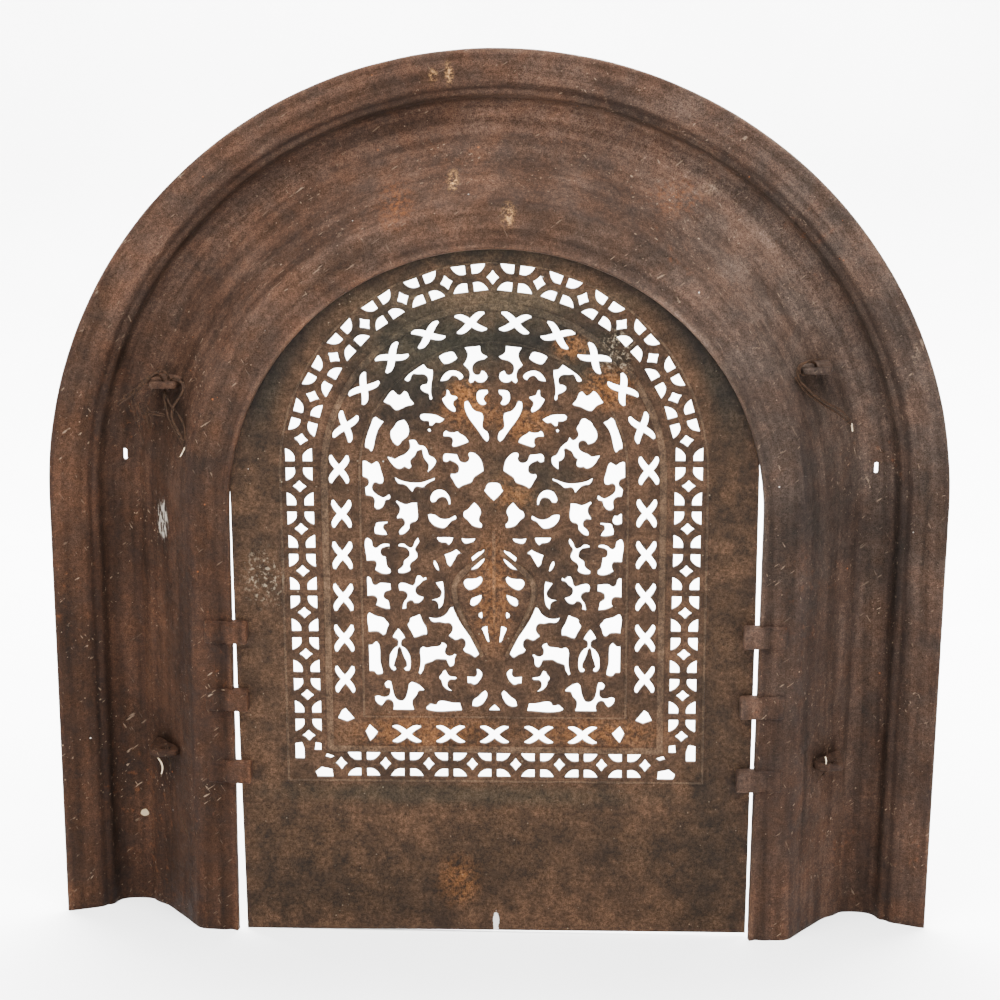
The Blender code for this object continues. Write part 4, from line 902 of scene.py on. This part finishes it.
    [(-8.3, 358.2), (-9, 355.3), (-8.2, 351.3), (-8.8, 347), (-11, 344), (-14.3, 340.7), (-18, 339.4),
     (-21.3, 339.5), (-23, 341), (-20.3, 342.7), (-18.4, 345.3), (-18.6, 348), (-19.5, 350.4), (-16.3, 353),
     (-13, 355.5), (-10, 356.4)],
    [(-25.8, 328.7), (-24, 331), (-18.7, 331.5), (-15, 332), (-11.5, 333.6), (-10.3, 331.8), (-11.2, 327.5),
     (-14.8, 323.8), (-18.5, 321.6), (-21.7, 321.1), (-24.7, 323.7)],
    [(-19.4, 313.3), (-15.5, 315.4), (-11, 317), (-11, 314.5), (-13, 310), (-16, 307.3), (-18.7, 306.5),
     (-20.4, 307.7)],
    [(-13, 296.5), (-13, 300), (-10.7, 301.7), (-10.3, 298), (-10.7, 295.3)],
    [(-11, 286.5), (-8.5, 288.3), (-6.2, 288.8), (-5.8, 284), (-4.9, 278), (-4.3, 273.5), (-5.5, 273.9),
     (-8, 279.5)],
]
# the heart is one hole at the right and two at the left, as cast
heartRight = [(83.7, 467), (82.7, 469.5), (79.2, 472), (76.2, 473.5), (74.2, 472.5), (72.7, 469),
    (70.2, 464.5), (71.9, 459.5), (70.7, 456.5), (68.2, 454.5), (66.2, 454.5), (64.2, 457), (63.2, 454),
    (59.2, 450.5), (57.2, 448.5), (53.2, 441.5), (49.7, 439.7), (49.2, 437), (50.2, 432.5), (54.7, 428.5),
    (54.7, 435.5), (57.2, 436.5), (59.2, 439), (59.7, 442), (59.2, 446), (60.7, 447), (63.2, 446),
    (66.2, 444), (68.7, 439.5), (71.2, 437.5), (70.2, 434), (70.7, 431.5), (73.2, 430.5), (76.2, 431),
    (78.2, 429.5), (81.2, 430), (85.2, 433), (88.2, 438), (90.2, 441.5), (86.2, 440.5), (82.2, 440.3),
    (80.2, 442), (73.7, 445), (71.7, 447.5), (71.2, 450), (72.2, 452.5), (75.2, 454), (78.2, 453),
    (79.7, 450.5), (84.2, 452), (86.7, 455), (87.2, 460), (85.7, 464)]
heartLeft = [(-71.3, 453.7), (-66.3, 454), (-64.8, 452.5), (-63.8, 450), (-58.3, 448.5), (-56.3, 445.5),
    (-54.8, 441), (-49.8, 438), (-48.8, 436), (-50.3, 431.5), (-55.8, 425.5), (-54.8, 432), (-56.8, 435),
    (-58.8, 438), (-60.3, 445.5), (-64.8, 444), (-66.8, 440), (-70.8, 435.5), (-69.8, 430.5),
    (-71.8, 428.5), (-75.8, 430.5), (-77.8, 429), (-80.8, 428.5), (-84.8, 431), (-87.8, 435),
    (-90.3, 439.5), (-86.3, 438.5), (-83.3, 437.3), (-79.8, 439.5), (-75.8, 441), (-72.3, 444), (-70.3, 447)]
ovalLeft = [(-86.8, 457), (-86.3, 462), (-83.8, 465), (-80.8, 469.5), (-77.8, 471), (-75.3, 471.5),
    (-73.8, 470), (-71.3, 463), (-72.8, 457), (-77.8, 452.5), (-79.8, 449.5), (-81.3, 448.7),
    (-83.8, 450.5), (-85.8, 453.5)]
fanHole = [(0, 417), (-4, 416.5), (-5.9, 414.5), (-6.5, 412), (-8.2, 409.8), (-4.5, 405.3), (0, 400.8),
    (4.5, 405.3), (8.2, 409.8), (6.5, 412), (5.9, 414.5), (4, 416.5)]
footHole = [(0, 217), (-2, 215.3), (-5.5, 211), (5.5, 211), (2, 215.3)]
sideHole = [(108.7, 390), (107.2, 390), (105.2, 388), (102.7, 388.5), (101.2, 385), (101.7, 381.5),
    (103.7, 380), (108.7, 381)]


def onPath(across, along, centre):
    x, z, turn = centre
    return (x + across * math.cos(turn) - along * math.sin(turn),
            z + across * math.sin(turn) + along * math.cos(turn))


def archCentre(radius, degrees, height):
    turn = math.radians(degrees)
    return (radius * math.cos(turn), height + radius * math.sin(turn), turn)


def legCentre(side, height):
    # the band's legs draw in a little towards the sill
    reach = coverShape["bandLeg"] + (height - 185) * 0.0103
    return (side * reach, height + coverShape["sideDrop"] * side, 0 if side > 0 else math.pi)


def coverHoles(shape):
    holes = []
    band, top = shape["bandRadius"], shape["bandArchHeight"]
    diamonds = [archCentre(band, 90 - 13.5 * i, top) for i in range(-6, 7)]
    gaps = [archCentre(band, 90 - 13.5 * (i + 0.5), top) for i in range(-6, 6)]
    crosses = [archCentre(shape["crossRadius"], 90 - side * angle, shape["archHeight"])
               for angle in (8.1, 24.3, 40.2, 55.9, 72, 88.6) for side in (-1, 1)]
    for side in (-1, 1):
        diamonds += [legCentre(side, 411.0 - 37.67 * i) for i in range(7)]
        gaps += [legCentre(side, z) for z in (430.2, 391.3, 353.6, 315.9, 278.3, 240.7, 203.1)]
        crosses += [(side * shape["crossLeg"], z + shape["sideDrop"] * side, 0)
                    for z in (386.8, 349.8, 312, 274.9, 237.2)]
    diamonds += [(x - 0.7, 158.3, -math.pi / 2) for x in (-134, -95.2, -57.2, -19, 19, 57.2, 94, 132)]
    gaps += [(x - 0.7, 157.6, -math.pi / 2) for x in (-114.2, -76.2, -38, 0, 38, 76.2, 114.2)]
    crosses += [(x, 186.1, -math.pi / 2) for x in (-76.9, -38.6, -0.3, 38.4, 76.5)]
    for centre in diamonds:
        diamond = [(6.2, 0), (2.8, 2.4), (0, 5.3), (-2.8, 2.4)]
        diamond += [(-a, -b) for a, b in diamond]
        holes.append([onPath(a, b, centre) for a, b in diamond])
    for centre in gaps:
        for a in (-1, 1):
            for b in (-1, 1):
                quarter = [(3.6, 2.6), (11.4, 2.6), (11.4, 14.6), (8.4, 13.2), (5.3, 10.6), (3.5, 7.2)]
                holes.append(softRun([onPath(a * p, b * q, centre) for p, q in quarter], 2.4, True, 75))
    notches = {(1, 1): (0, 4.3), (-1, 1): (-3.9, 0), (-1, -1): (0, -4.3), (1, -1): (3.9, 0)}
    for centre in crosses:
        outline = []
        for sa, sb in ((1, 1), (-1, 1), (-1, -1), (1, -1)):
            arm = [(2.7, 7.4), (6.2, 12.7), (7.9, 12.2), (8.6, 8.2), (6.4, 3.2)]
            arm = arm[::-1] if sa * sb > 0 else arm
            outline += [(sa * p, sb * q) for p, q in arm]
            outline.append(notches[sa, sb])
        holes.append(softRun([onPath(a, b, centre) for a, b in outline], 2.6, True, 62))
    for side in (-1, 1):
        for corner in ([(167, 162), (175, 162), (175, 177), (169, 178), (167, 172)],
                       [(152, 170), (158, 170), (157, 178), (152, 177)],
                       [(140, 165), (144, 162.5), (149, 164), (147, 167.5)],
                       [(142, 145), (156, 145), (158, 150), (152, 155), (143, 153)],
                       [(122, 200), (130, 210), (133, 208), (137, 200), (129, 197)],
                       [(102, 188), (109, 195), (113, 188), (109, 179), (106, 182)]):
            holes.append([(side * x, z) for x, z in corner])
    for outline in scroll:
        for side in (1, -1):
            holes.append(softRun([(side * x, z - shape["scrollDrop"]) for x, z in outline], 1.7, True))
    for outline in (heartRight, heartLeft, ovalLeft, fanHole, footHole, sideHole):
        holes.append(softRun([(x, z - shape["scrollDrop"]) for x, z in outline], 1.7, True))
    return holes


def ontoCover(bm, middle):
    # from the cover's own plane (x, z, depth) into its leaning place
    lean = math.radians(coverShape["lean"])
    for vert in bm.verts:
        x, z, depth = vert.co
        vert.co = (coverShape["shift"] * mm + x * math.cos(lean) - z * math.sin(lean),
                   (middle + depthShift) * mm + depth,
                   (coverShape["foot"] * mm + x) * math.sin(lean) + z * math.cos(lean))
    bmesh.ops.recalc_face_normals(bm, faces=bm.faces[:])


half = coverShape["half"]
border = [(-coverShape["foot"], 0), (coverShape["foot"], 0), (half, coverShape["shoulder"])]
border += [(half * math.cos(math.pi * i / 90), coverShape["rimHeight"] + half * math.sin(math.pi * i / 90))
           for i in range(91)]
border.append((-half, coverShape["shoulder"]))
outlines = [border] + coverHoles(coverShape)
plate = flatPlate("plate", outlines, coverShape["thick"] / 2, coverShape["rounding"])
ontoCover(plate, coverShape["back"] + coverShape["thick"] / 2)
keepInside(plate)
cover = finishPiece("cover_plate", plate, coverIron, "summer_cover")
print("cover plate:", len(cover.data.polygons), "faces")


# raised lines on the back of the cover

lineShape = {"sunk": 0.6, "steps": 60}


def archBand(inner, outer, low):
    # closed outlines of a band that follows the lattice: two legs, an arch and a sill
    made = []
    for radius, sill in ((outer, low[0]), (inner, low[1])):
        outline = [(-radius, sill), (radius, sill)]
        for i in range(lineShape["steps"] + 1):
            turn = math.pi * i / lineShape["steps"]
            outline.append((radius * math.cos(turn), coverShape["archHeight"] + radius * math.sin(turn)))
        made.append(outline)
    return made


def raisedLine(name, outlines, rise, rounding):
    half = (rise + lineShape["sunk"]) / 2
    bm = flatPlate(name, outlines, half, rounding)
    ontoCover(bm, coverShape["back"] - rise + half)
    return finishPiece(name, bm, lighterLineIron)


raisedLine("inner_rail", archBand(140.8, 146.6, (169.6, 175.6)), 1.0, 0.6)
raisedLine("panel_rail", archBand(112.8, 114.6, (202.0, 203.6)), 0.6, 0.4)
raisedLine("outer_rail", archBand(180.2, 182.0, (142.0, 143.8)), 0.6, 0.4)

pear = [(5.5, 359), (13, 352), (22, 344.5), (31.5, 335.5), (36.2, 326.5), (35.8, 314), (31, 300.5),
    (25.5, 288), (19.5, 276), (14.8, 266.5), (12, 260), (9, 262), (11.6, 268.5), (16, 277.5), (21.6, 289),
    (26.8, 301), (31, 314), (31.2, 325), (27, 332.5), (19, 340.5), (11.5, 347.5), (5, 353)]
for side, name in ((1, "pear_rim_right"), (-1, "pear_rim_left")):
    rim = [(side * x, z - coverShape["rimDrop"]) for x, z in pear]
    raisedLine(name, [softRun(rim, 2.0, True, 70)], 1.5, 0.9)
midrib = [(-1.2, 372), (1.2, 372), (1.6, 350), (1.5, 320), (1.1, 296), (0, 278), (-1.1, 296), (-1.5, 320),
    (-1.6, 350)]
raisedLine("leaf_midrib", [midrib], 1.0, 0.6)
print("raised lines done")


# tie wires, each strand with closed ends

def strands(name, skin, lines, *nodes):
    # each line is (radius, points as x, depth, z)
    curve = bpy.data.curves.new(name, "CURVE")
    curve.dimensions = "3D"
    curve.bevel_depth = mm
    curve.bevel_resolution = 2
    curve.use_fill_caps = True
    curve.resolution_u = 5
    for radius, points in lines:
        spline = curve.splines.new("NURBS")
        spline.points.add(len(points) - 1)
        for point, place in zip(spline.points, points):
            point.co = (*spot(*place), 1)
            point.radius = radius
        spline.points[-1].radius = radius * 0.7
        spline.order_u = 4
        spline.use_endpoint_u = True
    bm = curveMesh(name, curve)
    bmesh.ops.recalc_face_normals(bm, faces=bm.faces[:])
    for face in bm.faces:
        face.smooth = len(face.verts) < 5
    return finishPiece(name, bm, skin, *nodes)


upperLeft = [
    (1.15, [(-280, 28, 488), (-279, 27, 499), (-273, 23, 501), (-266, 20, 497), (-265, 19, 490),
        (-269, 18, 484), (-274, 18, 478), (-277, 19, 470), (-275, 19, 461), (-269, 17, 452),
        (-265, 14, 445)]),
    (1.05, [(-284, 28, 488), (-283, 25, 480), (-281, 22, 470), (-276, 20, 459), (-271, 18, 450),
        (-266, 14, 444)]),
    (0.95, [(-283, 27, 489), (-280, 24, 478), (-273, 21, 472), (-267, 19, 464), (-264, 17, 455),
        (-265, 14, 446)]),
    (1.15, [(-279, 28, 492), (-279, 27, 500), (-281, 26, 505), (-286, 24, 506), (-292, 23, 503),
        (-299, 22, 498), (-305, 21, 491), (-310, 21, 485)]),
    (1.0, [(-284, 28, 490), (-284, 27, 500), (-288, 25, 503), (-295, 23, 500), (-301, 22, 494),
        (-306, 22, 487), (-309, 23, 480)]),
    (0.7, [(-298, 24, 469), (-290, 24, 467.5), (-282, 25, 466)]),
    (0.7, [(-299, 24, 471), (-291, 24, 469.5), (-283, 25, 468)]),
    (0.5, [(-311, 23, 478), (-309, 23, 468), (-307.5, 24, 459), (-304, 26, 448), (-302, 28, 442)]),
    (0.5, [(-308, 23, 480), (-304, 24, 474), (-300, 26, 466)]),
]
# the frayed end, which fans out down to the left
for i in range(9):
    x, z = -284 - 3.2 * i, 507 - 2.7 * i
    reach = 15 + 2.5 * math.sin(i * 2.1)
    tip = (x - reach, 22.5, z - 9 - 2 * math.cos(i * 1.7))
    upperLeft.append((0.75, [(x, 24, z), (x - reach * 0.45, 23, z - 3), tip]))
for i in range(5):
    x = -311 + 3.4 * i
    tip = (x + 4, 23.5, 457 - 3 * math.sin(i * 2.3))
    upperLeft.append((0.6, [(x, 23, 480 - i), (x + 1.5, 23, 470), tip]))
strands("wire_upper_left", wireSkin, upperLeft, "tie_wire_upper_left")

upperRight = [
    (1.1, [(268, 29, 508), (268, 28, 517), (267, 25, 521), (259, 22, 522), (252, 20, 519),
        (251, 19, 511), (256, 19, 503), (266, 21, 494), (277, 24, 486), (288, 27, 481), (296, 29, 475),
        (300, 31, 466)]),
    (0.9, [(262, 27, 511), (256, 21, 509), (252.5, 19.5, 513), (254, 20, 520), (262, 22, 523.5),
        (271, 24, 524)]),
    (1.0, [(250, 19.5, 509), (256, 20.5, 499), (266, 23, 490), (279, 26, 481.5), (291, 28.5, 474.5),
        (298, 31, 467)]),
]
strands("wire_upper_right", wireSkin, upperRight, "tie_wire_upper_right")
strands("wire_lower_left", wireSkin,
        [(0.6, [(-292, 28, 168), (-290, 26, 163), (-288, 23, 157), (-287, 23, 150), (-288, 24, 144)]),
         (0.5, [(-293, 28, 167), (-292, 25, 160), (-290, 23, 154), (-289.5, 23, 149)])],
        "tie_wire_lower_left")
strands("wire_lower_right", wireSkin,
        [(0.5, [(293, 26, 178), (291, 26, 172), (293, 25, 166), (296, 24, 160), (293, 23, 155),
                (289, 24, 149)]),
         (0.45, [(296, 24, 160), (300, 25, 155), (303, 27, 150)]),
         (0.45, [(290, 24, 152), (286, 25, 146), (284, 26, 141)])], "tie_wire_lower_right")
strands("pale_wisps", strawSkin,
        [(0.7, [(-299, 24, 155), (-296.5, 23, 152), (-294.5, 23, 148), (-295, 24, 143),
                (-296.5, 25, 139)]),
         (0.8, [(300, 31, 467), (301, 31.5, 463), (301.5, 32, 460)]),
         (0.6, [(-265, 14, 442), (-266.5, 13, 438), (-269, 12.5, 434)]),
         (0.6, [(290, 22, 168), (293, 22, 163), (289, 22, 156)])])
strands("dark_scratch_wire", wireSkin, [(0.6, [(-278, 12, 104), (-273, 7.5, 94), (-269, 6, 82)])])
print("wires done")


# floor, backdrop, light and camera

sweepShape = {"halfWidth": 3.2, "front": 2.6, "back": 1.15, "bend": 0.45, "rise": 3.0}


def sweepFloor(shape):
    bm = bmesh.new()
    start = [bm.verts.new((x, -shape["front"], 0)) for x in (-shape["halfWidth"], shape["halfWidth"])]
    edge = [bm.edges.new(start)]
    for reach in (shape["front"], shape["back"]):
        made = bmesh.ops.extrude_edge_only(bm, edges=edge)["geom"]
        tips = newVerts(made)
        bmesh.ops.translate(bm, verts=tips, vec=(0, reach, 0))
        edge = newEdges(made, tips)
    tips = list(edge[0].verts)
    last = bmesh.ops.spin(bm, geom=tips + edge, cent=(0, shape["back"], shape["bend"]), axis=(1, 0, 0),
                          angle=math.pi / 2, steps=20, use_merge=False, use_duplicate=False)["geom_last"]
    edge = [item for item in last if isinstance(item, bmesh.types.BMEdge)]
    made = bmesh.ops.extrude_edge_only(bm, edges=edge)["geom"]
    bmesh.ops.translate(bm, verts=newVerts(made), vec=(0, 0, shape["rise"]))
    smooth(bm.faces)
    mesh = bpy.data.meshes.new("paper_sweep")
    bm.to_mesh(mesh)
    bm.free()
    sweep = standing("paper_sweep", mesh)
    paper, tree, shader, place = blankMaterial("white_cloth")
    cloth = fade(tree, clouds(tree, place, 300, 3), 0.3, 0.7)
    colour = tint(tree, cloth, (0.90, 0.90, 0.90), (0.95, 0.95, 0.95))
    join(tree, shader.inputs["Base Color"], colour)
    shader.inputs["Roughness"].default_value = 0.95
    shader.inputs["Specular IOR Level"].default_value = 0.1
    mesh.materials.append(paper)


sweepFloor(sweepShape)


def areaLight(name, place, target, size, power):
    lamp = bpy.data.lights.new(name, "AREA")
    lamp.shape = "RECTANGLE"
    lamp.size, lamp.size_y = size
    lamp.energy = power
    made = standing(name, lamp)
    made.location = place
    made.rotation_mode = "QUATERNION"
    made.rotation_quaternion = (Vector(target) - Vector(place)).to_track_quat("-Z", "Y")


areaLight("front_softbox", (0.5, -2.2, 2.9), (0, 0, 0.4), (2.6, 2.0), 120)
areaLight("top_softbox", (0.0, -1.1, 3.1), (0, 0.1, 0.0), (3.0, 2.0), 430)
areaLight("back_wash", (0.0, 0.85, 2.7), (0, 1.6, 0.9), (3.4, 1.0), 620)

world = bpy.data.worlds.new("white_room")
bpy.context.scene.world = world
world.use_nodes = True
world.node_tree.nodes["Background"].inputs["Color"].default_value = (1, 1, 1, 1)
world.node_tree.nodes["Background"].inputs["Strength"].default_value = 0.85

cameraSet = {"place": (0.062, -1.9713, 0.951), "down": 15.74, "yaw": -1.72, "roll": 0.41, "lens": 85.93}


def standCamera(values):
    down, yaw, roll = (math.radians(values[key]) for key in ("down", "yaw", "roll"))
    ahead = Vector((math.sin(yaw) * math.cos(down), math.cos(yaw) * math.cos(down), -math.sin(down)))
    right = Vector((math.cos(yaw), -math.sin(yaw), 0))
    over = right.cross(ahead)
    side = math.cos(roll) * right + math.sin(roll) * over
    head = math.cos(roll) * over - math.sin(roll) * right
    data = bpy.data.cameras.new("camera")
    data.lens = values["lens"]
    data.sensor_width = 36
    data.clip_end = 50
    camera = standing("camera", data)
    turn = Matrix((side, head, -ahead)).transposed().to_4x4()
    camera.matrix_world = Matrix.Translation(values["place"]) @ turn
    bpy.context.scene.camera = camera


standCamera(cameraSet)
print("stage set")
